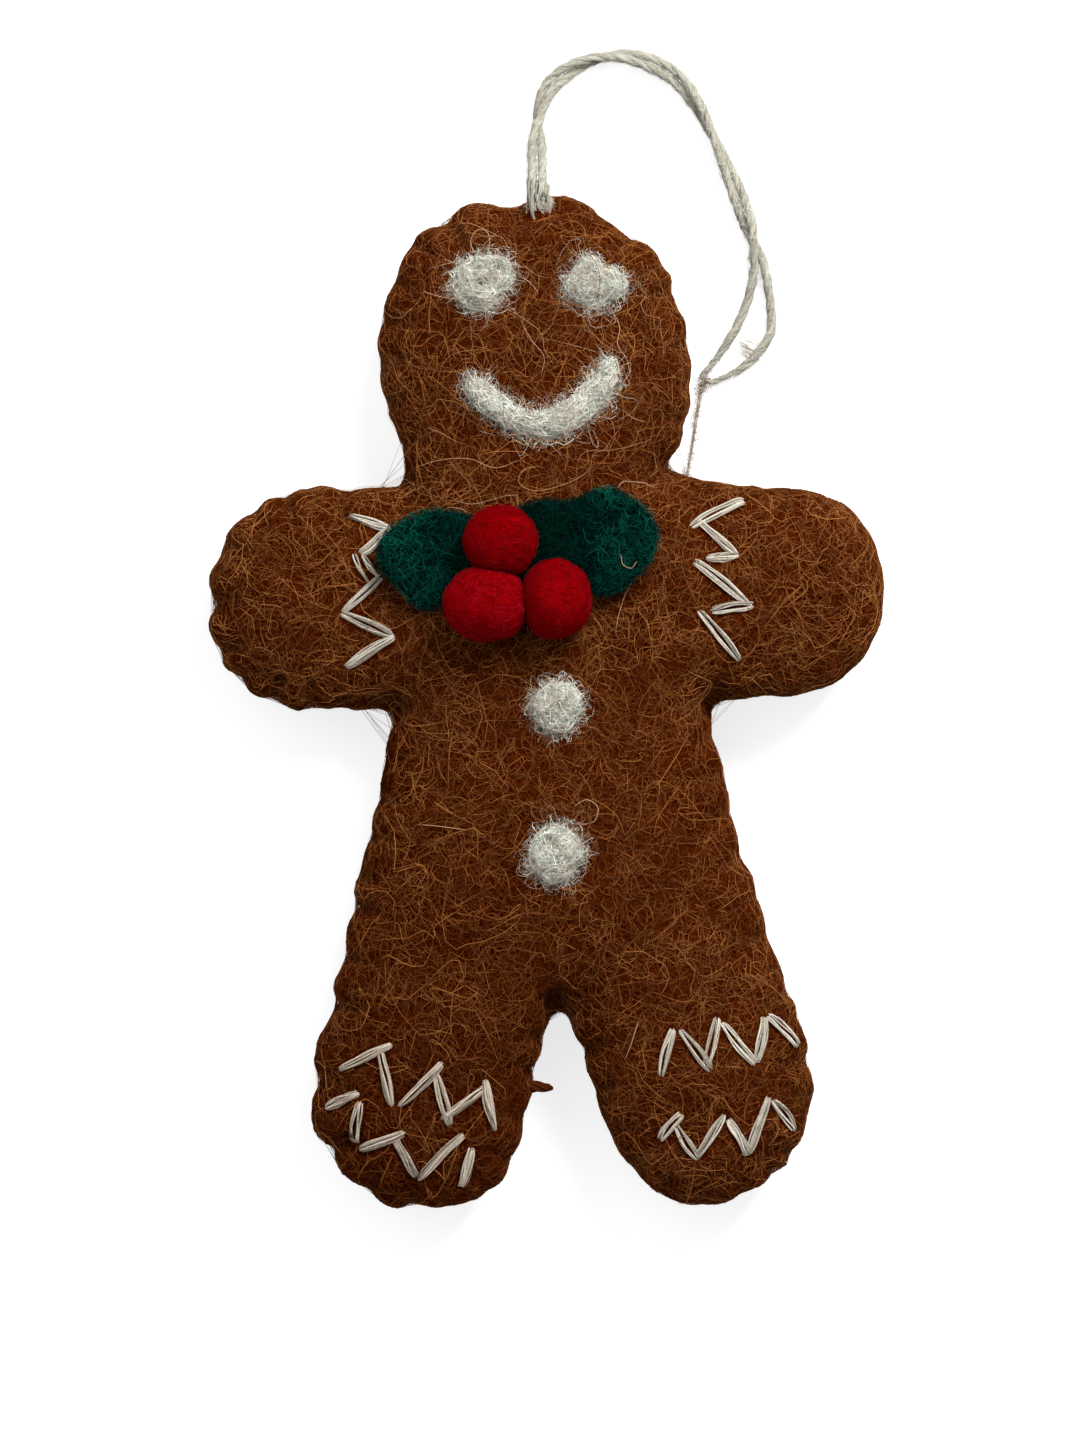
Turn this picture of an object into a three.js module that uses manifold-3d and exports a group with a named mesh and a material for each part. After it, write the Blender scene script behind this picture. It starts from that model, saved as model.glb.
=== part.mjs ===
// A stuffed felt gingerbread ornament, lying on its back with its face up.
// Two felt panels are sewn together round their scalloped edge over a soft filling. The face and
// buttons are needle-felted wool, the holly is felt with wool-ball berries, the arms and legs
// carry zig-zag stitches, and a doubled twine loop is sewn into the seam at the top of the head.
// Millimetres, +X to the right of the picture, +Y towards the head, +Z up out of the chest.
// The origin is on the floor, under the middle of the body's outline.

import * as THREE from "three";
import { mergeVertices } from "three/addons/utils/BufferGeometryUtils.js";
import Module from "manifold-3d";

const wasm = await Module();
wasm.setup();

// Driving dimensions of the body
const legHeight = 61.9; // soles to the waist
const waistRise = 0.5; // waist to the underside of the arms
const armWidth = 27.2;
const neckRise = 0.8; // top of the arms to the neck
const headHeight = 36;
const headWidth = 38.9;
const headAside = -1.5; // the head sits a little left of the middle
const armSpan = 84.4;
const footSpan = 62.5; // over both feet
const feetAside = 1.75; // the feet stand a little right of the middle

// The felt and how it is filled
const feltThickness = 1.6;
const frontPuff = 8.8; // how far the filling lifts each panel above its edge
const backPuff = 7.2;
const puffReach = 5; // distance from the edge over which a panel swells
const flatDepth = 0.5; // the back is pressed flat this deep where it lies
const stitchMargin = 2.4; // width of the edge that the whip stitch holds shut
const scallopPitch = 5.2; // from stitch to stitch round the edge
const scallopDepth = 0.7; // how far each stitch pulls the edge in
const clearance = 0.3; // between pieces that touch
const fillGap = 1; // between the wads of filling

// Needle-felted wool on the front
const leftEyeWidth = 9.1;
const leftEyeHeight = 8.9;
const rightEyeWidth = 9;
const rightEyeHeight = 8.1;
const eyeRaise = 1.7;
const smileWidth = 4.4;
const smileRaise = 1.5;
const upperButtonSize = 8.3;
const lowerButtonSize = 8.9;
const buttonRaise = 1.7;
const woolEdge = 0.5; // thickness of a wool patch at its rim
const woolRound = 1.5; // distance over which the rim rounds up

// The holly
const leafThickness = 1.3;
const leafLift = 3; // the free tips stand this far off the chest
const leftLeafLength = 14.3;
const leftLeafWidth = 12;
const rightLeafLength = 17.2;
const rightLeafWidth = 12.9;
const topBerrySize = 9.4;
const leftBerrySize = 10;
const rightBerrySize = 9.6;
const berryPress = 1.2; // each berry is sewn down this far out of round

// Thread and twine
const flossDiameter = 1.2;
const twineDiameter = 1.3;

// How finely the pieces are meshed
const meshSpacing = 4.6; // inside the body
const firstRing = 1.5; // rows of points that follow the edge inwards
const secondRing = 3.6;
const patchSpacing = 1.9;
const patchRing = 0.7;
const leafSpacing = 3;
const slopeStep = 0.2; // a slope is measured over this distance

// Outline tables. Each place is [across, up] as shares of the frame that it names below.
const headShares = [
  [0.86, 0.06], [0.93, 0.13], [0.985, 0.24], [1, 0.37], [0.985, 0.5], [0.92, 0.635],
  [0.815, 0.77], [0.63, 0.87], [0.41, 0.945], [0.2, 0.99], [-0.06, 0.975], [-0.33, 0.985],
  [-0.56, 0.935], [-0.75, 0.86], [-0.88, 0.745], [-0.965, 0.61], [-1, 0.455], [-0.95, 0.26],
  [-0.87, 0.13], [-0.83, 0.04],
];
const leftArmShares = [
  [-0.5, 1.01], [-0.62, 1], [-0.765, 0.96], [-0.885, 0.81], [-0.968, 0.5], [-1, 0.08],
  [-0.99, -0.36], [-0.92, -0.77], [-0.79, -0.98], [-0.61, -1.02], [-0.49, -1.03],
];
const rightArmShares = [
  [0.49, -1.02], [0.62, -0.93], [0.78, -0.835], [0.905, -0.63], [0.98, -0.32], [1, 0.08],
  [0.966, 0.51], [0.886, 0.83], [0.755, 0.98], [0.57, 1.03], [0.44, 1.05],
];
const legShares = [
  [-0.69, -0.06], [-0.715, -0.14], [-0.75, -0.23], [-0.8, -0.33], [-0.845, -0.43],
  [-0.895, -0.53], [-0.955, -0.645], [-0.995, -0.77], [-0.965, -0.865], [-0.84, -0.945],
  [-0.56, -1], [-0.32, -0.972], [-0.19, -0.895], [-0.13, -0.795], [-0.085, -0.68],
  [-0.045, -0.62], [-0.012, -0.604], [0.03, -0.618], [0.08, -0.675], [0.148, -0.788],
  [0.236, -0.889], [0.38, -0.966], [0.572, -1], [0.808, -0.95], [0.96, -0.862],
  [1, -0.77], [0.965, -0.642], [0.9, -0.53], [0.83, -0.44], [0.775, -0.35],
  [0.715, -0.26], [0.665, -0.165], [0.62, -0.07],
];
const crotchShare = [-0.012, -0.604];
const armRootShare = 0.46; // where an arm joins the chest, in half spans

// Places of the trims, in the frame of what carries them
const leftEyeShare = [-0.318, 0.691];
const rightEyeShare = [0.402, 0.694];
const smileShares = [
  [-0.4, 0.335], [-0.31, 0.285], [-0.19, 0.232], [-0.055, 0.193], [0.09, 0.185],
  [0.235, 0.212], [0.36, 0.276], [0.445, 0.36], [0.475, 0.42],
];
const upperButtonShare = [-0.014, 0.01];
const lowerButtonShare = [-0.018, -0.285];
const topBerryShare = [-0.133, 0.56];
const leftBerryShare = [-0.182, -0.055];
const rightBerryShare = [0.041, -0.009];
const leftLeafShare = [-0.338, 0.335];
const rightLeafShare = [0.137, 0.515];
const leftLeafShares = [
  [0.4, 0.42], [0.06, 0.5], [-0.16, 0.38], [-0.33, 0.26], [-0.44, 0], [-0.42, -0.18],
  [-0.3, -0.27], [-0.14, -0.44], [0.06, -0.47], [0.26, -0.36], [0.44, -0.24], [0.49, 0.1],
];
const rightLeafShares = [
  [-0.49, 0.33], [-0.34, 0.38], [-0.16, 0.34], [0.02, 0.44], [0.14, 0.5], [0.31, 0.4],
  [0.44, 0.22], [0.5, 0.03], [0.45, -0.15], [0.37, -0.27], [0.24, -0.46], [0.1, -0.5],
  [-0.04, -0.46], [-0.18, -0.18], [-0.4, -0.13], [-0.5, 0.1],
];

// Corners of the zig-zag rows, from one end of each row to the other
const leftArmRowShares = [
  [-0.578, 0.752], [-0.456, 0.633], [-0.545, 0.413], [-0.489, 0.193], [-0.596, -0.128],
  [-0.453, -0.339], [-0.59, -0.624],
];
const rightArmRowShares = [
  [0.584, 0.85], [0.436, 0.679], [0.563, 0.394], [0.444, 0.349], [0.598, -0.064],
  [0.453, -0.119], [0.569, -0.569],
];
const leftLegUpperRowShares = [
  [-0.88, -0.723], [-0.668, -0.671], [-0.652, -0.794], [-0.48, -0.715], [-0.448, -0.828],
  [-0.3, -0.75], [-0.26, -0.844],
];
const leftLegLowerRowShares = [
  [-0.91, -0.8], [-0.8, -0.778], [-0.812, -0.877], [-0.628, -0.853], [-0.568, -0.935],
  [-0.372, -0.861], [-0.392, -0.945],
];
const rightLegUpperRowShares = [
  [0.404, -0.735], [0.464, -0.642], [0.592, -0.723], [0.636, -0.622], [0.78, -0.713],
  [0.824, -0.618], [0.92, -0.677],
];
const rightLegLowerRowShares = [
  [0.408, -0.863], [0.48, -0.82], [0.552, -0.899], [0.668, -0.816], [0.748, -0.895],
  [0.84, -0.78], [0.915, -0.835],
];

// The hanging loop's route, chosen by hand. Its two strands leave the seam side by side, twist
// round each other along the arch, and part for the eye at the loop's free end.
const strandSpacing = 1.4; // between the middles of the two twisted strands
const turnPerCorner = Math.PI / 3; // how far they twist from one corner of the pair to the next
const firstEnd = [[-1.9, 59.6, 8.1], [-1.85, 63.2, 8.1], [-1.8, 66.2, 6.2]];
const secondEnd = [[-0.1, 59.6, 8.1], [-0.15, 63.2, 8.1], [-0.35, 66.2, 6.2]];
const pairRoute = [
  [-1.1, 69.5, 3.2], [-0.9, 73.2, 1.7], [0.6, 76.9, 1.45], [3.6, 79.5, 1.45], [7.6, 80.7, 1.45],
  [11.8, 80.1, 1.45], [15.9, 78.1, 1.45], [18.6, 74.7, 1.45], [20.6, 70.9, 1.45],
  [22.4, 66.9, 1.45], [24, 62.8, 1.45], [25.3, 58.7, 1.45], [26.35, 54.6, 1.35],
];
const eyeRoute = [
  [28, 49.8, 0.75], [27.9, 46, 0.75], [25.4, 42.9, 0.75], [21.6, 40.3, 0.75], [19, 40.6, 0.75],
  [20.2, 43, 0.75], [23.6, 46.4, 0.75], [25.4, 49.9, 0.75],
];

// Frames that the shares are measured in: the place of [0, 0] and the lengths of one share
const bodyHeight = legHeight + waistRise + armWidth + neckRise + headHeight;
const waistUp = legHeight - bodyHeight / 2;
const armsUp = waistUp + waistRise + armWidth / 2;
const neckUp = armsUp + armWidth / 2 + neckRise;
const legFrame = {
  at: new THREE.Vector2(feetAside, waistUp),
  size: new THREE.Vector2(footSpan / 2, legHeight),
};
const armFrame = {
  at: new THREE.Vector2(0, armsUp),
  size: new THREE.Vector2(armSpan / 2, armWidth / 2),
};
const headFrame = {
  at: new THREE.Vector2(headAside, neckUp),
  size: new THREE.Vector2(headWidth / 2, headHeight),
};
const frames = [headFrame, armFrame, legFrame];

function placed(frame, share) {
  return new THREE.Vector2(...share).multiply(frame.size).add(frame.at);
}

function placedAll(frame, shares) {
  return shares.map((share) => placed(frame, share));
}

function curveThrough(points, closed) {
  const corners = points.map((p) => new THREE.Vector3(p.x, p.y, p.z ?? 0));
  return new THREE.CatmullRomCurve3(corners, closed, "centripetal");
}

// The body's edge curve, anticlockwise from the right side of the neck
function bodyCurve() {
  return curveThrough(
    [
      ...placedAll(headFrame, headShares),
      ...placedAll(armFrame, leftArmShares),
      ...placedAll(legFrame, legShares),
      ...placedAll(armFrame, rightArmShares),
    ],
    true,
  );
}

// Evenly spaced points along a closed anticlockwise curve, each moved inwards by insetAt(index)
function insetLoop(curve, count, insetAt) {
  return Array.from({ length: count }, (_, i) => {
    const point = curve.getPointAt(i / count);
    const along = curve.getTangentAt(i / count);
    const inset = insetAt(i);
    return new THREE.Vector2(point.x - along.y * inset, point.y + along.x * inset);
  });
}

const pointsPerScallop = 3;
const pointsPerRingScallop = 2;

function scallopedLoop(curve, count) {
  const insetAt = (i) => (i % pointsPerScallop === 0 ? scallopDepth : 0);
  return insetLoop(curve, count * pointsPerScallop, insetAt);
}

// The frames move so that the outline's box is centred on the origin
const scallops = Math.round(bodyCurve().getLength() / scallopPitch);
const outlineMiddle = new THREE.Box2()
  .setFromPoints(scallopedLoop(bodyCurve(), scallops))
  .getCenter(new THREE.Vector2());
frames.forEach((frame) => frame.at.sub(outlineMiddle));
const edgeCurve = bodyCurve();
const edgeLoop = scallopedLoop(edgeCurve, scallops);

function isInside(point, loop) {
  let inside = false;
  loop.forEach((a, i) => {
    const b = loop[(i + 1) % loop.length];
    const crosses = a.y > point.y !== b.y > point.y;
    if (crosses && point.x < a.x + ((b.x - a.x) * (point.y - a.y)) / (b.y - a.y)) inside = !inside;
  });
  return inside;
}

// Distance from a point to the nearest place on a loop
function edgeDistance(point, loop) {
  let nearest = Infinity;
  loop.forEach((a, i) => {
    const span = loop[(i + 1) % loop.length].clone().sub(a);
    const reach = point.clone().sub(a);
    const share = THREE.MathUtils.clamp(reach.dot(span) / span.lengthSq(), 0, 1);
    nearest = Math.min(nearest, reach.addScaledVector(span, -share).length());
  });
  return nearest;
}

// A distance to the edge that feels every side at once, so a form swelled by it has no creases:
// the integral of 1 / r^3 along the loop, which equals 2 / h^2 beside one long straight edge.
const leastHeightShare = 1e-3;

function softDistance(point, loop) {
  if (!isInside(point, loop)) return 0;
  let pull = 0;
  loop.forEach((a, i) => {
    const b = loop[(i + 1) % loop.length];
    const length = a.distanceTo(b);
    const along = b.clone().sub(a).divideScalar(length);
    const from = a.clone().sub(point);
    const start = from.dot(along);
    const end = start + length;
    const height = Math.max(Math.abs(from.cross(along)), leastHeightShare * length);
    pull += (end / Math.hypot(end, height) - start / Math.hypot(start, height)) / height ** 2;
  });
  return Math.sqrt(2 / pull);
}

function swell(distance) {
  return Math.sqrt(1 - Math.exp(-Math.max(distance, 0) / puffReach));
}

// Delaunay triangles over plane points: each point opens the circles that it falls in. The points
// are nudged a hair while it works, so that no four of them lie on one circle.
const farShare = 20;
const nudgeShare = 1e-6;

function circled(triangle, points) {
  const [a, b, c] = triangle.map((i) => points[i]);
  const ab = b.clone().sub(a);
  const ac = c.clone().sub(a);
  const double = 2 * ab.cross(ac);
  const x = (ac.y * ab.lengthSq() - ab.y * ac.lengthSq()) / double;
  const y = (ab.x * ac.lengthSq() - ac.x * ab.lengthSq()) / double;
  return { triangle, x: a.x + x, y: a.y + y, radiusSq: x * x + y * y };
}

function delaunay(points) {
  const box = new THREE.Box2().setFromPoints(points);
  const middle = box.getCenter(new THREE.Vector2());
  const across = box.getSize(new THREE.Vector2()).length();
  const far = farShare * across;
  const corners = [
    new THREE.Vector2(-far, -far),
    new THREE.Vector2(far, -far),
    new THREE.Vector2(0, far),
  ];
  const nudged = points.map((p, i) => {
    const nudge = new THREE.Vector2(Math.sin(i * i), Math.cos(i * i));
    return p.clone().addScaledVector(nudge, nudgeShare * across);
  });
  const all = [...nudged, ...corners.map((c) => c.add(middle))];
  const count = points.length;
  let found = [circled([count, count + 1, count + 2], all)];
  nudged.forEach((p, i) => {
    const opened = found.filter((c) => (p.x - c.x) ** 2 + (p.y - c.y) ** 2 < c.radiusSq);
    const edges = new Map();
    opened.forEach(({ triangle: [a, b, c] }) => {
      [[a, b], [b, c], [c, a]].forEach(([from, to]) => {
        if (!edges.delete(`${to} ${from}`)) edges.set(`${from} ${to}`, [from, to]);
      });
    });
    found = found.filter((c) => !opened.includes(c));
    edges.forEach(([from, to]) => found.push(circled([from, to, i], all)));
  });
  return found.map((c) => c.triangle).filter((t) => t.every((i) => i < count));
}

// A plane net: the points of an edge loop, then the points inside it, and triangles over both
function planeNet(loop, inner) {
  const points = [...loop, ...inner];
  const triangles = delaunay(points).filter((t) => {
    const middle = new THREE.Vector2();
    t.forEach((i) => middle.add(points[i]));
    return isInside(middle.divideScalar(t.length), loop);
  });
  return { points, triangles, edgeCount: loop.length };
}

// Rows of points on a triangular grid, kept where they are deeper inside the loop than clear
function gridInside(loop, spacing, clear) {
  const box = new THREE.Box2().setFromPoints(loop);
  const rise = spacing * Math.sin(Math.PI / 3);
  const points = [];
  for (let row = 0; box.min.y + row * rise < box.max.y; row++) {
    const start = box.min.x + (row % 2) * (spacing / 2);
    for (let x = start; x < box.max.x; x += spacing) {
      const point = new THREE.Vector2(x, box.min.y + row * rise);
      if (isInside(point, loop) && edgeDistance(point, loop) > clear) points.push(point);
    }
  }
  return points;
}

// A closed sheet between two surfaces that share one net
function sheetGeometry(net, tops, bottoms) {
  const count = net.points.length;
  const indices = [];
  net.triangles.forEach(([a, b, c]) => {
    indices.push(a, b, c, a + count, c + count, b + count);
  });
  for (let i = 0; i < net.edgeCount; i++) {
    const j = (i + 1) % net.edgeCount;
    indices.push(i + count, j + count, j, i + count, j, i);
  }
  const geometry = new THREE.BufferGeometry().setFromPoints([...tops, ...bottoms]);
  return geometry.setIndex(indices);
}

function solidOf(geometry) {
  const bare = geometry.clone();
  bare.deleteAttribute("normal");
  bare.deleteAttribute("uv");
  const merged = mergeVertices(bare);
  return new wasm.Manifold(
    new wasm.Mesh({
      numProp: 3,
      vertProperties: merged.attributes.position.array,
      triVerts: new Uint32Array(merged.index.array),
    }),
  );
}

function geometryOf(solid) {
  const mesh = solid.getMesh();
  return new THREE.BufferGeometry()
    .setAttribute("position", new THREE.BufferAttribute(mesh.vertProperties, 3))
    .setIndex(new THREE.BufferAttribute(mesh.triVerts, 1));
}

// The body's net: its scalloped edge, two rows that follow it, and an even grid within
const bodyNet = planeNet(edgeLoop, [
  ...insetLoop(edgeCurve, scallops * pointsPerRingScallop, () => firstRing),
  ...insetLoop(edgeCurve, scallops, () => secondRing),
  ...gridInside(edgeLoop, meshSpacing, secondRing + meshSpacing / 2),
]);

const bodyDepths = bodyNet.points.map((p, i) =>
  i < bodyNet.edgeCount ? 0 : softDistance(p, edgeLoop),
);
const fullestSwell = swell(Math.max(...bodyDepths));
const halfGap = clearance / 2;
const rimHalf = feltThickness;
const seamHeight = rimHalf + backPuff * fullestSwell - flatDepth;

// Heights above or below the seam, at a soft distance from the edge
function outerHeight(puff, depth) {
  return rimHalf + puff * swell(depth);
}

function innerHeight(puff, depth) {
  const rise = puff + rimHalf - halfGap - feltThickness;
  return halfGap + rise * swell(depth - stitchMargin);
}

function bodySurface(heightAt) {
  return bodyNet.points.map((p, i) => new THREE.Vector3(p.x, p.y, heightAt(bodyDepths[i])));
}

function frontFeltGeometry() {
  return sheetGeometry(
    bodyNet,
    bodySurface((depth) => seamHeight + outerHeight(frontPuff, depth)),
    bodySurface((depth) => seamHeight + innerHeight(frontPuff, depth)),
  );
}

// The back panel, pressed flat on the floor at z = 0
function backFeltGeometry() {
  return sheetGeometry(
    bodyNet,
    bodySurface((depth) => Math.max(seamHeight - innerHeight(backPuff, depth), feltThickness)),
    bodySurface((depth) => Math.max(seamHeight - outerHeight(backPuff, depth), 0)),
  );
}

// The space for the filling, a clearance inside both panels
function fillingSolid() {
  const film = halfGap / 2;
  const above = (depth) => Math.max(innerHeight(frontPuff, depth) - clearance, film);
  const below = (depth) => Math.max(innerHeight(backPuff, depth) - clearance, film);
  const room = sheetGeometry(
    bodyNet,
    bodySurface((depth) => seamHeight + above(depth)),
    bodySurface((depth) => Math.max(seamHeight - below(depth), feltThickness + clearance)),
  );
  const rim = insetLoop(edgeCurve, edgeLoop.length, () => stitchMargin + 2 * clearance);
  const prism = new THREE.ExtrudeGeometry(new THREE.Shape(rim), {
    depth: bodyHeight,
    bevelEnabled: false,
  });
  return solidOf(room).intersect(solidOf(prism));
}

// A block over the plan between two corners, as tall as the whole body
function planBlock([lowX, lowY, highX, highY]) {
  const box = new THREE.BoxGeometry(highX - lowX, highY - lowY, bodyHeight);
  return solidOf(box.translate((lowX + highX) / 2, (lowY + highY) / 2, 0));
}

// A point on the front felt, lifted along the felt's own normal
function onFelt(point, lift) {
  const height = (x, y) => outerHeight(frontPuff, softDistance(new THREE.Vector2(x, y), edgeLoop));
  const slopeX = (height(point.x + slopeStep, point.y) - height(point.x - slopeStep, point.y)) / 2;
  const slopeY = (height(point.x, point.y + slopeStep) - height(point.x, point.y - slopeStep)) / 2;
  const normal = new THREE.Vector3(-slopeX, -slopeY, slopeStep).normalize();
  const base = new THREE.Vector3(point.x, point.y, seamHeight + height(point.x, point.y));
  return base.addScaledVector(normal, lift);
}

// A wool patch that follows the felt under it and rounds up from its rim
function patchGeometry(loop, raise) {
  const net = planeNet(loop, [
    ...insetLoop(curveThrough(loop, true), loop.length, () => patchRing),
    ...gridInside(loop, patchSpacing, patchRing + patchSpacing / 2),
  ]);
  const crown = net.points.map((p, i) => {
    const depth = i < net.edgeCount ? 0 : edgeDistance(p, loop);
    return woolEdge + (raise - woolEdge) * (1 - Math.exp(-depth / woolRound));
  });
  return sheetGeometry(
    net,
    net.points.map((p, i) => onFelt(p, clearance + crown[i])),
    net.points.map((p) => onFelt(p, clearance)),
  );
}

const patchPoints = 20;
const wobbleShare = 0.04; // how far a needled patch strays from a true oval
const roundLobes = 3; // a patch that was needled nearly round
const squareLobes = 4; // a patch that came out a little square

function ovalLoop(middle, width, height, lobes) {
  return Array.from({ length: patchPoints }, (_, i) => {
    const turn = (2 * Math.PI * i) / patchPoints;
    const swing = 1 + wobbleShare * Math.cos(lobes * turn);
    return new THREE.Vector2(
      middle.x + (width / 2) * swing * Math.cos(turn),
      middle.y + (height / 2) * swing * Math.sin(turn),
    );
  });
}

// A band of even width along a curve, with round ends, anticlockwise
const bandPoints = 12;
const capPoints = 4;

function bandLoop(curve, width) {
  const side = (share, turn) => {
    const point = curve.getPointAt(share);
    const along = curve.getTangentAt(share);
    const angle = Math.atan2(along.y, along.x) + turn;
    return new THREE.Vector2(
      point.x + (width / 2) * Math.cos(angle),
      point.y + (width / 2) * Math.sin(angle),
    );
  };
  const quarter = Math.PI / 2;
  const loop = [];
  for (let i = 0; i <= bandPoints; i++) loop.push(side(i / bandPoints, -quarter));
  for (let i = 1; i < capPoints; i++) loop.push(side(1, -quarter + (Math.PI * i) / capPoints));
  for (let i = bandPoints; i >= 0; i--) loop.push(side(i / bandPoints, quarter));
  for (let i = 1; i < capPoints; i++) loop.push(side(0, quarter + (Math.PI * i) / capPoints));
  return loop;
}

const leafPoints = 32;

// A felt leaf that lies on the chest at its root and lifts towards its free tip
function leafGeometry(middle, length, width, shares, side) {
  const frame = { at: middle, size: new THREE.Vector2(length, width) };
  const curve = curveThrough(placedAll(frame, shares), true);
  let loop = insetLoop(curve, leafPoints, () => 0);
  if (THREE.ShapeUtils.isClockWise(loop)) loop = loop.reverse();
  const net = planeNet(loop, gridInside(loop, leafSpacing, leafSpacing / 2));
  const rootX = middle.x - (side * length) / 2;
  const liftAt = (p) => leafLift * ((side * (p.x - rootX)) / length) ** 2;
  return sheetGeometry(
    net,
    net.points.map((p) => onFelt(p, clearance + liftAt(p) + leafThickness)),
    net.points.map((p) => onFelt(p, clearance + liftAt(p))),
  );
}

const berryDetailCount = 4;

function berrySolid(share, size, grow) {
  const middle = onFelt(placed(armFrame, share), clearance + size / 2 - berryPress);
  const ball = new THREE.IcosahedronGeometry(size / 2 + grow, berryDetailCount);
  return solidOf(ball.translate(middle.x, middle.y, middle.z));
}

// A round tube along a curve
function tubeGeometry(curve, diameter, sides, steps) {
  const corners = Array.from({ length: sides }, (_, i) => {
    const turn = (2 * Math.PI * i) / sides;
    return new THREE.Vector2((diameter / 2) * Math.cos(turn), (diameter / 2) * Math.sin(turn));
  });
  return new THREE.ExtrudeGeometry(new THREE.Shape(corners), {
    steps,
    bevelEnabled: false,
    extrudePath: curve,
  });
}

const flossSides = 6;
const stepsPerStitch = 6;
const cornerShare = 0.14; // each corner of a row is rounded over this share of its stitches

// One row of zig-zag floss, lying on the felt
function rowGeometry(frame, shares) {
  const corners = placedAll(frame, shares);
  const path = corners.slice(1).flatMap((corner, i) => {
    const from = corners[i];
    return [cornerShare, 1 / 2, 1 - cornerShare].map((t) => from.clone().lerp(corner, t));
  });
  const lifted = path.map((p) => onFelt(p, clearance + flossDiameter / 2));
  const steps = (corners.length - 1) * stepsPerStitch;
  return tubeGeometry(curveThrough(lifted, false), flossDiameter, flossSides, steps);
}

// The channels that the loop's two ends need in the seam at the top of the head
function twineChannel(from, to) {
  const back = from.clone().add(from.clone().sub(to).setLength(clearance));
  const channel = new THREE.LineCurve3(back, to);
  return solidOf(tubeGeometry(channel, twineDiameter + 2 * clearance, twineSides, 1));
}

const twineSides = 8;
const twineStep = 2.2; // length of one step along the twine
const samplesPerCorner = 3; // points on each strand from one corner of the pair to the next

function vectors(corners) {
  return corners.map((corner) => new THREE.Vector3(...corner));
}

// Points along one of the two twisted strands: side is 1 for the first and -1 for the second
function strandPoints(side) {
  const middle = curveThrough(vectors(pairRoute), false);
  const count = (pairRoute.length - 1) * samplesPerCorner;
  const reach = (side * strandSpacing) / 2;
  return Array.from({ length: count + 1 }, (_, i) => {
    const along = middle.getTangent(i / count);
    const turn = (turnPerCorner * i) / samplesPerCorner;
    const aside = new THREE.Vector3(-along.y, along.x, 0).setLength(reach * Math.cos(turn));
    const up = new THREE.Vector3(0, 0, reach * Math.sin(turn));
    return middle.getPoint(i / count).add(aside).add(up);
  });
}

const twineRoute = [
  ...vectors(firstEnd),
  ...strandPoints(1),
  ...vectors(eyeRoute),
  ...strandPoints(-1).reverse(),
  ...vectors(secondEnd).reverse(),
];
const twineCurve = curveThrough(twineRoute, false);

function twineGeometry() {
  const steps = Math.round(twineCurve.getLength() / twineStep);
  return tubeGeometry(twineCurve, twineDiameter, twineSides, steps);
}

// Materials, one for each finish
function finish(color, roughness) {
  return new THREE.MeshStandardMaterial({ color, roughness, metalness: 0 });
}

const brownFelt = finish(0x5c2d11, 0.95);
const filling = finish(0xf0ede6, 0.95);
const whiteWool = finish(0xc4c2b2, 0.95);
const greenFelt = finish(0x06291f, 0.95);
const redWool = finish(0x8a040d, 0.9);
const creamFloss = finish(0xcfc6b0, 0.75);
const creamTwine = finish(0xcbc8b8, 0.85);

const ornament = new THREE.Group();

function add(name, geometry, material) {
  const mesh = new THREE.Mesh(geometry, material.clone());
  mesh.name = name;
  ornament.add(mesh);
}

// The two panels, each with channels for the ends of the loop
const channels = twineChannel(twineRoute[0], twineRoute[1]).add(
  twineChannel(twineRoute.at(-1), twineRoute.at(-2)),
);
add("front_felt", geometryOf(solidOf(frontFeltGeometry()).subtract(channels)), brownFelt);
add("back_felt", geometryOf(solidOf(backFeltGeometry()).subtract(channels)), brownFelt);

// The filling, pushed in as one wad for each form
const fill = fillingSolid().subtract(channels);
const [crotchX, crotchY] = placed(legFrame, crotchShare).toArray();
const neckY = headFrame.at.y;
const waistY = legFrame.at.y;
const rootX = (armRootShare * armSpan) / 2;
const wads = {
  stuffing_head: [-armSpan, neckY + fillGap, armSpan, bodyHeight],
  stuffing_left_arm: [-armSpan, waistY, -rootX - fillGap, neckY],
  stuffing_right_arm: [rootX + fillGap, waistY, armSpan, neckY],
  stuffing_left_leg: [-armSpan, -bodyHeight, crotchX, crotchY - fillGap],
  stuffing_right_leg: [crotchX, -bodyHeight, armSpan, crotchY - fillGap],
};
Object.entries(wads).forEach(([name, corners]) => {
  add(name, geometryOf(fill.intersect(planBlock(corners))), filling);
});
const torso = fill
  .intersect(planBlock([-armSpan, crotchY, armSpan, neckY]))
  .subtract(planBlock([-armSpan, waistY, -rootX, neckY + fillGap]))
  .subtract(planBlock([rootX, waistY, armSpan, neckY + fillGap]));
add("stuffing_torso", geometryOf(torso), filling);

// The face and the buttons
const patches = [
  ["left_eye", headFrame, leftEyeShare, leftEyeWidth, leftEyeHeight, eyeRaise, roundLobes],
  ["right_eye", headFrame, rightEyeShare, rightEyeWidth, rightEyeHeight, eyeRaise, squareLobes],
  ["upper_button", legFrame, upperButtonShare, upperButtonSize, upperButtonSize, buttonRaise, squareLobes],
  ["lower_button", legFrame, lowerButtonShare, lowerButtonSize, lowerButtonSize, buttonRaise, roundLobes],
];
patches.forEach(([name, frame, share, width, height, raise, lobes]) => {
  const loop = ovalLoop(placed(frame, share), width, height, lobes);
  add(name, patchGeometry(loop, raise), whiteWool);
});
const smileCurve = curveThrough(placedAll(headFrame, smileShares), false);
add("smile", patchGeometry(bandLoop(smileCurve, smileWidth), smileRaise), whiteWool);

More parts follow.
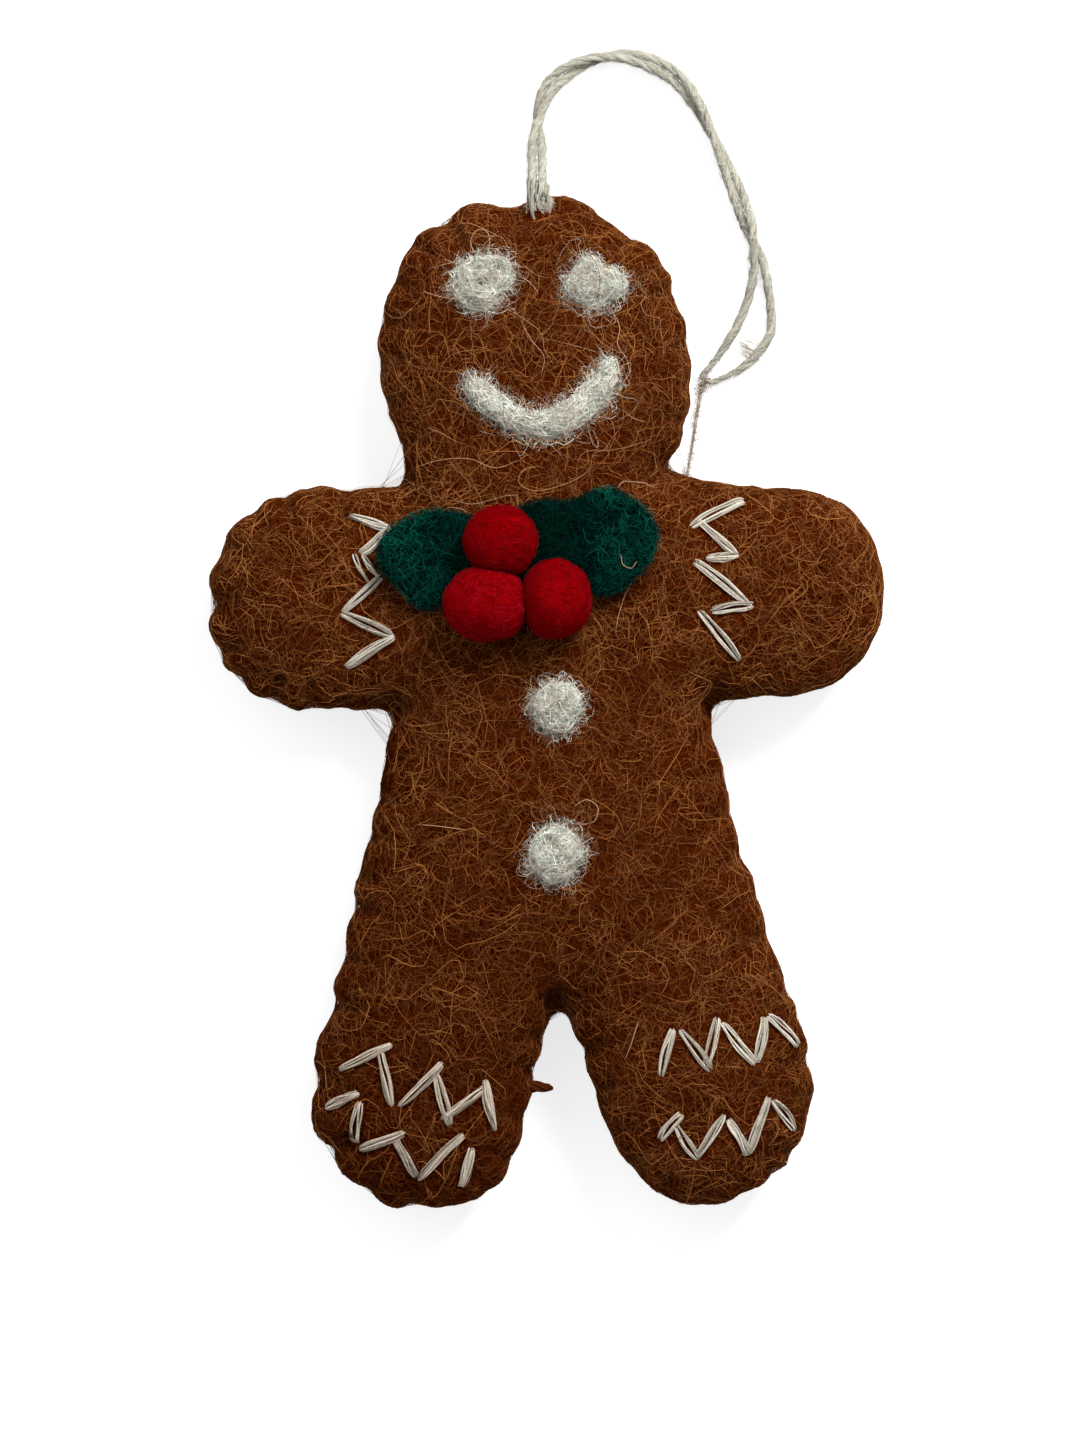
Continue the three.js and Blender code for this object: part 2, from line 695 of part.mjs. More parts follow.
// The berries press on the chest and on each other, and the leaves tuck in under them
const chest = solidOf(
  sheetGeometry(
    bodyNet,
    bodyNet.points.map((p) => onFelt(p, clearance)),
    bodySurface(() => seamHeight - clearance),
  ),
);
const berries = [
  ["berry_left", leftBerryShare, leftBerrySize],
  ["berry_right", rightBerryShare, rightBerrySize],
  ["berry_top", topBerryShare, topBerrySize],
];
berries.forEach(([name, share, size], i) => {
  const others = berries.slice(0, i).map(([, at, width]) => berrySolid(at, width, clearance));
  const whole = berrySolid(share, size, 0).subtract(chest);
  const ball = others.reduce((left, other) => left.subtract(other), whole);
  add(name, geometryOf(ball), redWool);
});
const pressed = berries
  .map(([, share, size]) => berrySolid(share, size, clearance))
  .reduce((all, ball) => all.add(ball));
const leaves = [
  ["left_leaf", leftLeafShare, leftLeafLength, leftLeafWidth, leftLeafShares, -1],
  ["right_leaf", rightLeafShare, rightLeafLength, rightLeafWidth, rightLeafShares, 1],
];
leaves.forEach(([name, share, length, width, shares, side]) => {
  const leaf = leafGeometry(placed(armFrame, share), length, width, shares, side);
  add(name, geometryOf(solidOf(leaf).subtract(pressed)), greenFelt);
});

// The zig-zag rows
const rows = [
  ["left_arm_zigzag", armFrame, leftArmRowShares],
  ["right_arm_zigzag", armFrame, rightArmRowShares],
  ["left_leg_upper_zigzag", legFrame, leftLegUpperRowShares],
  ["left_leg_lower_zigzag", legFrame, leftLegLowerRowShares],
  ["right_leg_upper_zigzag", legFrame, rightLegUpperRowShares],
  ["right_leg_lower_zigzag", legFrame, rightLegLowerRowShares],
];
rows.forEach(([name, frame, shares]) => add(name, rowGeometry(frame, shares), creamFloss));

add("hanging_loop", twineGeometry(), creamTwine);

console.log(`seam ${seamHeight.toFixed(2)} mm above the floor`);
console.log(`edge ${edgeCurve.getLength().toFixed(1)} mm round, ${edgeLoop.length} points`);
console.log(`twine ${twineCurve.getLength().toFixed(1)} mm long`);

export default ornament;
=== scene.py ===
# %% [markdown]
# # A stuffed felt gingerbread man, lying on its back
#
# The real ornament is two panels of brown wool felt, sewn together round a scalloped edge over
# loose filling. White wool is needled on for the face and buttons, felt leaves and felt balls
# make the holly, and cotton floss makes the zig-zags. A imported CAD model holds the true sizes,
# and everything made here is dressed onto it in the same frame, in metres.

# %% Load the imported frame
import math
from functools import partial

import bmesh
import bpy
import numpy as np
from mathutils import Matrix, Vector, geometry, kdtree, noise
from mathutils.bvhtree import BVHTree


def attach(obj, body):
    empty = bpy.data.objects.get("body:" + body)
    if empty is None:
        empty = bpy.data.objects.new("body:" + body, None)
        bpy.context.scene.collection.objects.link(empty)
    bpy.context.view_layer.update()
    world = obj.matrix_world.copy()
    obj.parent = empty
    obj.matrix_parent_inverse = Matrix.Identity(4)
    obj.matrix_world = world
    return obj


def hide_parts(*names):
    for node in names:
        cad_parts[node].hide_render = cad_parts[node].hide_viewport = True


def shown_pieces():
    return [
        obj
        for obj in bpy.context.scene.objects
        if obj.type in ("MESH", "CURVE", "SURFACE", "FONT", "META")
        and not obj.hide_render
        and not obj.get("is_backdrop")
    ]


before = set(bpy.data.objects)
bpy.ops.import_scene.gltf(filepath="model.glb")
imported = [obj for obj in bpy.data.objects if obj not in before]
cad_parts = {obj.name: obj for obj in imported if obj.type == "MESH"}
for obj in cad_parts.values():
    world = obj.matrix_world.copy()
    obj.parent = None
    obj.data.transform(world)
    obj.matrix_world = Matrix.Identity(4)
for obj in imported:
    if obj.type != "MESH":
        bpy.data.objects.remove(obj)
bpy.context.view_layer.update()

MM = 0.001
BODY = "root"

# %% [markdown]
# ## The camera comes first
#
# The ornament was pictured from straight above, so the camera looks down on it from far away
# through a long lens. That keeps the high parts of the form where the flat measures put them.
# Eight pixels of the picture are one millimetre of felt.

# %% The camera
scene = bpy.context.scene
scene.view_settings.view_transform = "Standard"

PIXELS_PER_MM = 8
IMAGE_WIDTH, IMAGE_HEIGHT = 1080, 1440
MIDDLE_PIXEL = (546, 701.5)  # where the middle of the body lies in the picture
SEAM_UP = 8.13  # height of the seam between the panels, mm
CAMERA_UP = 1200  # above the seam, mm
SENSOR = 36


def at_pixel(across, down):
    """The place in mm, seen from above, of a pixel of the picture."""
    return np.array([across - MIDDLE_PIXEL[0], MIDDLE_PIXEL[1] - down]) / PIXELS_PER_MM


def at_pixels(pixels):
    return np.array([at_pixel(*pixel) for pixel in pixels])


def linked(name, data):
    """A new object in the scene."""
    made = bpy.data.objects.new(name, data)
    scene.collection.objects.link(made)
    return made


view_middle = at_pixel(IMAGE_WIDTH / 2, IMAGE_HEIGHT / 2)
camera_data = bpy.data.cameras.new("camera")
camera_data.sensor_width = SENSOR
camera_data.lens = SENSOR * CAMERA_UP / (IMAGE_HEIGHT / PIXELS_PER_MM)
camera_data.clip_start, camera_data.clip_end = 0.01, 10
camera = linked("camera", camera_data)
camera.location = Vector((*view_middle, SEAM_UP + CAMERA_UP)) * MM
scene.camera = camera
print(f"camera {CAMERA_UP} mm above the seam, lens {camera_data.lens:.0f} mm")

# %% [markdown]
# ### Helpers for lines
#
# Nearly everything on a sewn toy follows a line: its edge, its stitches, its cord. One helper
# draws a smooth curve through a few given points, and another walks along it in even steps.


# %% Smooth lines
def smooth_line(corners, closed=False, steps=24):
    """Points of a centripetal Catmull-Rom curve through the corners."""
    p = np.asarray(corners, float)
    if closed:
        before, after = np.roll(p, 1, 0), np.roll(p, -1, 0)
        far = np.roll(p, -2, 0)
        start = p
    else:
        start, after = p[:-1], p[1:]
        before = np.vstack([2 * p[:1] - p[1:2], p[:-2]])
        far = np.vstack([p[2:], 2 * p[-1:] - p[-2:-1]])
    d0, d1, d2 = (
        np.maximum(np.linalg.norm(b - a, axis=1, keepdims=True), 1e-9) ** 0.5
        for a, b in ((before, start), (start, after), (after, far))
    )
    leave = ((start - before) / d0 - (after - before) / (d0 + d1) + (after - start) / d1) * d1
    arrive = ((after - start) / d1 - (far - start) / (d1 + d2) + (far - after) / d2) * d1
    t = (np.arange(steps) / steps)[None, :, None]
    start, after, leave, arrive = (x[:, None] for x in (start, after, leave, arrive))
    curve = (
        start * (2 * t**3 - 3 * t**2 + 1)
        + after * (3 * t**2 - 2 * t**3)
        + leave * (t**3 - 2 * t**2 + t)
        + arrive * (t**3 - t**2)
    )
    curve = curve.reshape(-1, p.shape[1])
    return curve if closed else np.vstack([curve, p[-1:]])


def lengths_along(line):
    return np.concatenate([[0], np.cumsum(np.linalg.norm(np.diff(line, axis=0), axis=1))])


def walked(line, places):
    """Points at these lengths along an open line."""
    reached = lengths_along(line)
    return np.stack([np.interp(places, reached, line[:, k]) for k in range(line.shape[1])], 1)


def even_steps(line, count):
    return walked(line, np.linspace(0, lengths_along(line)[-1], count))


def unit(rows):
    return rows / np.linalg.norm(rows, axis=1, keepdims=True)


def along_line(line):
    """Unit directions along an open line."""
    return unit(np.gradient(line, axis=0))


def left_of(ways):
    """Directions turned a quarter to the left, seen from above."""
    return np.stack([-ways[:, 1], ways[:, 0]], 1)


def near(distance, reach):
    """1 at a place, and 0 well beyond this reach of it."""
    return np.exp(-((distance / reach) ** 2))


def well_inside(distance, reach):
    """0 at an edge, and 1 well inside it."""
    return 1 - np.exp(-distance / reach)


# %% [markdown]
# ### Helpers for meshes and nodes
#
# A mesh is built from points in millimetres and put down in metres, so the object itself stays
# at the origin. Node trees, for shaders and for geometry alike, are wired by one small helper.


# %% Meshes
def mesh_object(name, points, faces, material=None, edges=()):
    """A linked object with its place in its mesh."""
    mesh = bpy.data.meshes.new(name)
    mesh.from_pydata((np.asarray(points) * MM).tolist(), [tuple(e) for e in edges], faces)
    mesh.polygons.foreach_set("use_smooth", [True] * len(mesh.polygons))
    if material:
        mesh.materials.append(material)
    return linked(name, mesh)


def mesh_points(made):
    """The points of an object's mesh, in mm."""
    flat = np.empty(len(made.data.vertices) * 3)
    made.data.vertices.foreach_get("co", flat)
    return flat.reshape(-1, 3) / MM


def baked(made):
    """The object with its modifiers' result as its plain mesh."""
    depsgraph = bpy.context.evaluated_depsgraph_get()
    shaped = bpy.data.meshes.new_from_object(
        made.evaluated_get(depsgraph), preserve_all_data_layers=True, depsgraph=depsgraph
    )
    made.modifiers.clear()
    made.data = shaped
    return made


def triangle_count(made):
    return sum(len(face.vertices) - 2 for face in made.data.polygons)


def dressed(made, slot, *nodes):
    """Puts a finished piece into the frame, in place of CAD nodes where it has any."""
    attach(made, BODY)
    if nodes:
        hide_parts(*nodes)
    print(f"{made.name}: {triangle_count(made)} triangles")
    return made


# %% Soft noise and nearest points
def soft_noise(places, scale, *rest):
    """Soft noise at each number or (x, y) of places. The rest are its other coordinates."""
    scaled = np.asarray(places).reshape(len(places), -1) * scale
    return np.array([noise.noise(Vector((*place, *rest))) for place in scaled])


def plan_finder(spots):
    """Finds the nearest of these points, seen from above."""
    tree = kdtree.KDTree(len(spots))
    for i, spot in enumerate(spots):
        tree.insert((*spot[:2], 0), i)
    tree.balance()
    return tree


# %% Nodes
PLACE = "FLOAT_VECTOR"


def feed(node, inputs):
    """Gives each input, by its name or number, a plain value or what another node gives."""
    for name, value in inputs.items():
        if isinstance(name, int):
            socket = node.inputs[name]
        else:
            socket = next(s for s in node.inputs if s.name == name and s.enabled)
        if isinstance(value, Wire):
            node.id_data.links.new(value.socket, socket)
        else:
            socket.default_value = value


def step(tree, kind, inputs=None, **settings):
    """Adds a node, and returns what comes out of it."""
    node = tree.nodes.new(kind)
    for name, value in settings.items():
        setattr(node, name, value)
    feed(node, inputs or {})
    return Wire(node)


class Wire:
    """What comes out of a node. It is reckoned with like a number, or like a place."""

    def __init__(self, node, name=None):
        self.node = node
        shown = (s for s in node.outputs if s.enabled and name in (None, s.name))
        self.socket = next(shown, None)

    def __getitem__(self, name):
        return Wire(self.node, name)

    def work(self, operation, *values):
        kind = "ShaderNodeVectorMath" if self.is_place() else "ShaderNodeMath"
        return step(self.node.id_data, kind, dict(enumerate(values)), operation=operation)

    def is_place(self):
        return self.socket.type in ("VECTOR", "RGBA")

    def __add__(self, other):
        return self.work("ADD", self, other)

    def __sub__(self, other):
        return self.work("SUBTRACT", self, other)

    def __rsub__(self, other):
        return self.work("SUBTRACT", other, self)

    def __mul__(self, other):
        if self.is_place():
            inputs = {0: self, "Scale": other}
            return step(self.node.id_data, "ShaderNodeVectorMath", inputs, operation="SCALE")
        return self.work("MULTIPLY", self, other)

    def __rtruediv__(self, other):
        return self.work("DIVIDE", other, self)

    def __pow__(self, other):
        return self.work("POWER", self, other)

    def __abs__(self):
        return self.work("ABSOLUTE", self)

    def at_least(self, other):
        return self.work("MAXIMUM", self, other)

    def spread(self, low, high, new_low, new_high):
        """Carries the value from one range to another, and holds it at the ends."""
        ends = (self, low, high, new_low, new_high)
        return step(self.node.id_data, "ShaderNodeMapRange", dict(enumerate(ends)))


def new_tree(name, kind, inputs, output_names):
    """An empty node group with named sockets: it, its adder, what it is given and its end."""
    tree = bpy.data.node_groups.new(name, kind)
    for label, socket, value in inputs:
        made = tree.interface.new_socket(label, in_out="INPUT", socket_type="NodeSocket" + socket)
        if value is not None:
            made.default_value = value
    for label, socket in output_names.items():
        tree.interface.new_socket(label, in_out="OUTPUT", socket_type="NodeSocket" + socket)
    given = Wire(tree.nodes.new("NodeGroupInput"))
    return tree, partial(step, tree), given, tree.nodes.new("NodeGroupOutput")


def run_tree(made, tree, values):
    """Runs a geometry tree on an object with these named inputs, and keeps the plain mesh."""
    modifier = made.modifiers.new(tree.name, "NODES")
    modifier.node_group = tree
    for item in tree.interface.items_tree:
        if item.in_out == "INPUT" and item.name in values:
            modifier[item.identifier] = values[item.name]
    return baked(made)


# %% [markdown]
# ## Wool, as a shader
#
# Felt is a mat of curly fibres. Seen close, some fibres cross in front and catch the light and
# the rest sink into shade. A line where a soft noise passes through its own middle value is thin
# and curly, just as a fibre is, so a few such noises laid over each other make the mat. This is
# a group, because brown felt, green felt, red balls and white wool all share it.

# %% The fibre mat group
mat_group, add, given, end = new_tree(
    "Curly fibre mat",
    "ShaderNodeTree",
    [("Place", "Vector", None), ("Curls per mm", "Float", 0.6), ("Fibre Width", "Float", 0.05)],
    {"Fibres": "Float", "Height": "Float"},
)
in_mm = given["Place"] * (1 / MM)
crossing = raised = None
LAYERS = ((0.0, 1.0, 0.6), (17.3, 1.45, 0.75), (41.9, 2.1, 0.9), (73.1, 3.1, 1.0))
for shift, finer, weight in LAYERS:
    moved = in_mm + (shift, -shift, shift / 2)
    fine = given["Curls per mm"] * finer
    field = add("ShaderNodeTexNoise", {"Vector": moved, "Scale": fine, "Detail": 1.0})
    line = abs(field - 0.5).spread(0.0, given["Fibre Width"], weight, 0.0)
    crossing = crossing.at_least(line) if crossing else line
    raised = raised + line if raised else line
feed(end, {"Fibres": crossing, "Height": raised * (1 / len(LAYERS))})
print("group:", mat_group.name, len(mat_group.nodes), "nodes")

# %% [markdown]
# The second group gives wool its colour: a body colour that drifts in soft clouds towards a
# deeper one, with the crossing fibres paler on top.


# %% The wool colour group
def mixed(add, share, low, high):
    return add("ShaderNodeMix", {"Factor": share, "A": low, "B": high}, data_type="RGBA")


BLACK = (0, 0, 0, 1)
wool_group, add, given, end = new_tree(
    "Wool colour",
    "ShaderNodeTree",
    [
        ("Place", "Vector", None), ("Fibres", "Float", 0.0), ("Deep", "Color", BLACK),
        ("Body", "Color", BLACK), ("Tips", "Color", BLACK), ("Clouds per mm", "Float", 0.12),
    ],
    {"Color": "Color", "Roughness": "Float"},
)
in_clouds = {"Vector": given["Place"] * (1 / MM), "Scale": given["Clouds per mm"], "Detail": 3.0}
drift = add("ShaderNodeTexNoise", in_clouds).spread(0.35, 0.62, 0.0, 1.0)
body = mixed(add, drift, given["Deep"], given["Body"])
rough = given["Fibres"].spread(0.0, 1.0, 0.98, 0.82)
feed(end, {"Color": mixed(add, given["Fibres"], body, given["Tips"]), "Roughness": rough})
print("group:", wool_group.name)


# %% [markdown]
# Each wool then is one material: the groups feed the colour, the roughness and a bump, and the
# soft bloom of loose fibre ends at the rim of a form comes from the shader's own sheen.


# %% Wool materials
# Painted shade: the wool's colour darkens along this way, towards the left foot.
UP_FROM_LEFT_FOOT = (1.2, 1.0, 0.0)
SHADE_DARKEST_AT, SHADE_ENDS_AT = -0.07, -0.015  # where along that way the painted shade is deepest, and where it is gone


def shader(name):
    material = bpy.data.materials.new(name)
    material.use_nodes = True
    tree = material.node_tree
    return material, partial(step, tree), tree.nodes["Principled BSDF"]


def bumped(add, height, depth):
    return add("ShaderNodeBump", {"Height": height, "Strength": 1.0, "Distance": depth * MM})


def wool(name, deep, colour, tips, curls, width, bump, sheen, least=1.0):
    """Felted wool, with painted shade towards the left foot, where only the least share of its
    colour is left.
    """
    material, add, principled = shader(name)
    place = add("ShaderNodeTexCoord")["Object"]
    inputs = {"Place": place, "Curls per mm": curls, "Fibre Width": width}
    mat = add("ShaderNodeGroup", inputs, node_tree=mat_group)
    inputs = {"Place": place, "Fibres": mat["Fibres"]}
    inputs.update({"Deep": (*deep, 1), "Body": (*colour, 1), "Tips": (*tips, 1)})
    tone = add("ShaderNodeGroup", inputs, node_tree=wool_group)
    inputs = {0: place, 1: UP_FROM_LEFT_FOOT}
    up = add("ShaderNodeVectorMath", inputs, operation="DOT_PRODUCT")["Value"]
    # The base colour carries the painted shade towards the left foot.
    feed(principled, {
        "Base Color": tone["Color"] * up.spread(SHADE_DARKEST_AT, SHADE_ENDS_AT, least, 1.0),
        "Roughness": tone["Roughness"],
        "Normal": bumped(add, mat["Height"], bump),
        "Specular IOR Level": 0.0,
        "Sheen Weight": sheen,
        "Sheen Roughness": 0.6,
        "Sheen Tint": (*tips, 1),
    })
    return material


# The brown felt keeps half its colour at the left foot: painted shade.
brown_felt = wool(
    "brown felt", (0.018, 0.0010, 0.0001), (0.040, 0.0028, 0.0001), (0.12, 0.024, 0.002),
    0.75, 0.035, 0.3, 0.15, 0.5,
)
white_wool = wool(
    "white needled wool", (0.12, 0.12, 0.09), (0.29, 0.29, 0.23), (0.52, 0.53, 0.44),
    1.1, 0.035, 0.25, 0.1,
)
green_felt = wool(
    "green felt", (0.0001, 0.0014, 0.0009), (0.0002, 0.0045, 0.0030), (0.0012, 0.020, 0.014),
    1.0, 0.035, 0.25, 0.1,
)
red_wool = wool(
    "red felted ball", (0.11, 0.0001, 0.0002), (0.175, 0.0001, 0.0004), (0.26, 0.0004, 0.0025),
    1.3, 0.03, 0.08, 0.1,
)
white_filling = wool(
    "fibre filling", (0.70, 0.69, 0.66), (0.82, 0.81, 0.78), (0.9, 0.9, 0.88),
    0.5, 0.05, 0.4, 0.2,
)
print("wools made:", len(bpy.data.materials))


# %% [markdown]
# Loose fibres, and the strands of the threads, are real geometry. Each fibre carries a random
# number called tone, and its material mixes two colours by it. A thread carries a place that
# runs along and round it, twisted, so that its fine grain follows the twist of the yarn.


# %% Fibre and thread materials
def fibre_material(name, dark, light):
    material, add, principled = shader(name)
    tone = add("ShaderNodeAttribute", attribute_name="tone")["Fac"]
    feed(principled, {
        "Base Color": mixed(add, tone, (*dark, 1), (*light, 1)),
        "Roughness": 0.75,
        "Specular IOR Level": 0.008,
        "Sheen Weight": 0.1,
        "Sheen Tint": (*light, 1),
    })
    return material


def thread_material(name, deep, pale, grain, bump, roughness, shine):
    """Spun thread: its grain runs along the strands of the attribute called strand."""
    material, add, principled = shader(name)
    strand = add("ShaderNodeAttribute", attribute_name="strand")["Vector"]
    field = add("ShaderNodeTexNoise", {"Vector": strand, "Scale": grain, "Detail": 3.0})
    grainy = field.spread(0.35, 0.65, 0.0, 1.0)
    tone = add("ShaderNodeAttribute", attribute_name="tone")["Fac"]
    lit = (grainy + tone).spread(0.2, 1.8, 0.0, 1.0)
    feed(principled, {
        "Base Color": mixed(add, lit, (*deep, 1), (*pale, 1)),
        "Normal": bumped(add, grainy, bump),
        "Roughness": lit.spread(0.0, 1.0, roughness + 0.1, roughness),
        "Specular IOR Level": shine,
    })
    return material


brown_fibre = fibre_material("brown fibre", (0.068, 0.0080, 0.0003), (0.43, 0.168, 0.046))
pale_fibre = fibre_material("pale stray fibre", (0.36, 0.17, 0.075), (0.64, 0.42, 0.27))
dark_fibre = fibre_material("dark stray fibre", (0.03, 0.013, 0.006), (0.10, 0.05, 0.025))
white_fibre = fibre_material("white fibre", (0.26, 0.26, 0.20), (0.95, 0.97, 0.87))
mixed_fibre = fibre_material("white fibre in brown", (0.34, 0.20, 0.12), (0.78, 0.68, 0.58))
green_fibre = fibre_material("green fibre", (0.0002, 0.0045, 0.003), (0.004, 0.095, 0.066))
red_fibre = fibre_material("red fibre", (0.13, 0.0001, 0.0003), (0.46, 0.006, 0.020))
frayed_fibre = fibre_material("frayed fibre", (0.30, 0.24, 0.18), (0.68, 0.60, 0.50))
cream_fibre = fibre_material("cream fibre", (0.46, 0.44, 0.36), (0.70, 0.69, 0.61))
floss_thread = thread_material(
    "cream floss", (0.18, 0.14, 0.09), (0.98, 0.90, 0.77), 3.0, 0.06, 0.6, 0.1
)
# A darker floss for the left leg: painted shade.
shaded_floss = thread_material(
    "dusty cream floss", (0.13, 0.085, 0.05), (0.79, 0.68, 0.56), 3.0, 0.05, 0.6, 0.1
)
twine_thread = thread_material(
    "cream twine", (0.22, 0.208, 0.16), (0.545, 0.53, 0.445), 2.6, 0.08, 0.8, 0.05
)
seam_thread = thread_material(
    "brown seam thread", (0.030, 0.005, 0.0006), (0.085, 0.020, 0.004), 3.0, 0.03, 0.9, 0.02
)
print("materials:", len(bpy.data.materials))

# %% [markdown]
# ## Threads and fibres, as geometry trees
#
# A thread of any kind is a line with a round section, so one tree turns drawn lines into
# threads. It also stores the twisted place that the thread material reads.


# %% Steps that both trees take
def stored(add, shape, name, value, kind="FLOAT"):
    inputs = {"Geometry": shape, "Name": name, "Value": value}
    return add("GeometryNodeStoreNamedAttribute", inputs, data_type=kind, domain="POINT")


def read(add, name, kind="FLOAT"):
    return add("GeometryNodeInputNamedAttribute", {"Name": name}, data_type=kind)


def at_random(add, low, high, seed, kind="FLOAT", **which):
    inputs = {"Min": low, "Max": high, "Seed": seed, **which}
    return add("FunctionNodeRandomValue", inputs, data_type=kind)


def towards_ends(add, power):
    """Grows from 0 in the middle of a line to 1 at both its ends."""
    return (abs(add("GeometryNodeSplineParameter")["Factor"] - 0.5) * 2.0) ** power


def tubes(add, curves, ring, scale):
    inputs = {"Curve": curves, "Profile Curve": ring, "Scale": scale, "Fill Caps": True}
    return add("GeometryNodeCurveToMesh", inputs)


def finished(add, shape, material):
    smooth = add("GeometryNodeSetShadeSmooth", {"Geometry": shape})
    painted = add("GeometryNodeSetMaterial", {"Geometry": smooth, "Material": material})
    return add("GeometryNodeRealizeInstances", {"Geometry": painted})


# %% The thread tree
ALONG_STRETCH = 0.22  # the grain is drawn out along the strand

thread_tree, add, given, end = new_tree(
    "Spin threads",
    "GeometryNodeTree",
    [
        ("Lines", "Geometry", None), ("Radius", "Float", 0.0002), ("Sides", "Int", 6),
        ("Turns per mm", "Float", 0.3), ("End Taper", "Float", 0.0),
        ("Material", "Material", None),
    ],
    {"Threads": "Geometry"},
)
curves = add("GeometryNodeMeshToCurve", {"Mesh": given["Lines"]})
which = add("GeometryNodeCurveOfPoint")["Curve Index"]
length_mm = add("GeometryNodeSplineParameter")["Length"] * (1 / MM)
own_grain = at_random(add, (-30, -30, -30), (30, 30, 30), 1, PLACE, ID=which)
marked = stored(add, curves, "along", length_mm)
marked = stored(add, marked, "own grain", own_grain, PLACE)
marked = stored(add, marked, "tone", at_random(add, 0.0, 1.0, 2, ID=which))
narrowed = (1.0 - towards_ends(add, 6.0) * given["End Taper"]) * read(add, "fullness")
section = {"Resolution": given["Sides"], "Radius": given["Radius"]}
ring = add("GeometryNodeCurvePrimitiveCircle", section)
here = add("GeometryNodeInputPosition")
ring = stored(add, ring, "around", here.work("NORMALIZE", here), PLACE)
threads = tubes(add, marked, ring, narrowed)
along = read(add, "along")
turn = along * given["Turns per mm"] * (2 * math.pi)
inputs = {"Vector": read(add, "around", PLACE), "Angle": turn}
twisted = add("ShaderNodeVectorRotate", inputs, rotation_type="Z_AXIS")
lifted = add("ShaderNodeCombineXYZ", {"Z": along * ALONG_STRETCH})
threads = stored(
    add, threads, "strand", twisted + lifted + read(add, "own grain", PLACE), PLACE
)
feed(end, {"Threads": finished(add, threads, given["Material"])})
print("tree:", thread_tree.name, len(thread_tree.nodes), "nodes")


def spun(name, lines, material, radius, sides=6, turns=0.3, taper=0.0, fullness=None):
    """Threads along drawn lines, of one radius in mm, thinner where fullness is below 1."""
    points = np.vstack(lines)
    edges = []
    start = 0
    for line in lines:
        edges += [(i, i + 1) for i in range(start, start + len(line) - 1)]
        start += len(line)
    drawn = mesh_object(name, points, [], edges=edges)
    shares = np.ones(len(points)) if fullness is None else np.concatenate(fullness)
    drawn.data.attributes.new("fullness", "FLOAT", "POINT").data.foreach_set("value", shares)
    values = {"Radius": radius * MM, "Sides": sides, "Turns per mm": turns, "End Taper": taper}
    return run_tree(drawn, thread_tree, {**values, "Material": material})


# %% [markdown]
# Loose fibres repeat by the thousand, so Geometry Nodes scatter them. Short lines are scattered
# on a surface, each bent by a noise of its own, laid back onto whatever surface it crosses and
# lifted a little off it. A fibre is only a three-sided tube, as it is less than a tenth of a
# millimetre thick.

# %% The fibre tree
SHORTEST, LONGEST = 0.55, 1.35  # shares of the stated length
HELD_WITHIN, FREE_BEYOND = 0.6 * MM, 1.7 * MM  # a stitch presses fibres down from this far

fibre_tree, add, given, end = new_tree(
    "Lay loose fibres",
    "GeometryNodeTree",
    [
        ("Wool", "Geometry", None), ("Lie On", "Object", None), ("Pressed By", "Object", None),
        ("Low Corner", "Vector", (-1, -1, -1)), ("High Corner", "Vector", (1, 1, 1)),
        ("Fibres per Area", "Float", 1e6), ("Underside Share", "Float", 0.4),
        ("Length", "Float", 0.005), ("Curl", "Float", 0.0008), ("Curl Size", "Float", 0.002),
        ("Lift", "Float", 0.0004), ("Pressed In", "Float", 0.0003),
        ("Wall Share", "Float", 0.2), ("Tone Gain", "Float", 1.0), ("Tone Power", "Float", 1.8),
        ("Disorder", "Float", 1.0), ("Radius", "Float", 0.00005), ("Floor", "Float", 0.0001),
        ("Points", "Int", 9), ("Seed", "Int", 0), ("Material", "Material", None),
    ],
    {"Fibres": "Geometry"},
)
# Roots: scattered inside a box, and fewer of them on the underside.
here = add("GeometryNodeInputPosition")
facing = add("GeometryNodeInputNormal")
inside = True
for corner, comparison in (("Low Corner", "GREATER_THAN"), ("High Corner", "LESS_THAN")):
    mine, limit = (add("ShaderNodeSeparateXYZ", {0: place}) for place in (here, given[corner]))
    for axis in "XYZ":
        inputs = {0: mine[axis], 1: limit[axis]}
        test = add("FunctionNodeCompare", inputs, data_type="FLOAT", operation=comparison)
        inside = add("FunctionNodeBooleanMath", {0: test, 1: inside}, operation="AND")
upwards = add("ShaderNodeSeparateXYZ", {0: facing})["Z"]
density = given["Fibres per Area"] * upwards.spread(-0.4, 0.2, given["Underside Share"], 1.0)
inputs = {"Mesh": given["Wool"], "Selection": inside, "Density": density, "Seed": given["Seed"]}
roots = add("GeometryNodeDistributePointsOnFaces", inputs)

# Straight fibres: each follows the comb or turns about, and has its own length.
half = given["Length"] * 0.5
start, stop = (add("ShaderNodeCombineXYZ", {"X": x}) for x in (half * -1.0, half))
line = add("GeometryNodeCurvePrimitiveLine", {"Start": start, "End": stop})
line = add("GeometryNodeResampleCurve", {"Curve": line, "Count": given["Points"]})
widest = given["Disorder"]
spin = at_random(add, widest * -math.pi, widest * math.pi, given["Seed"])
inputs = {"Rotation": roots["Rotation"], "Vector": read(add, "comb", PLACE)}
combed = add("FunctionNodeAlignRotationToVector", inputs, axis="X", pivot_axis="Z")
spin = add("FunctionNodeEulerToRotation", {"Euler": add("ShaderNodeCombineXYZ", {"Z": spin})})
inputs = {"Rotation": combed, "Rotate By": spin}
turned = add("FunctionNodeRotateRotation", inputs, rotation_space="LOCAL")
size = at_random(add, SHORTEST, LONGEST, given["Seed"] + 7.0)
inputs = {"Points": roots, "Instance": line, "Rotation": turned, "Scale": size}
laid = add("GeometryNodeInstanceOnPoints", inputs)
laid = add("GeometryNodeRealizeInstances", {"Geometry": laid})

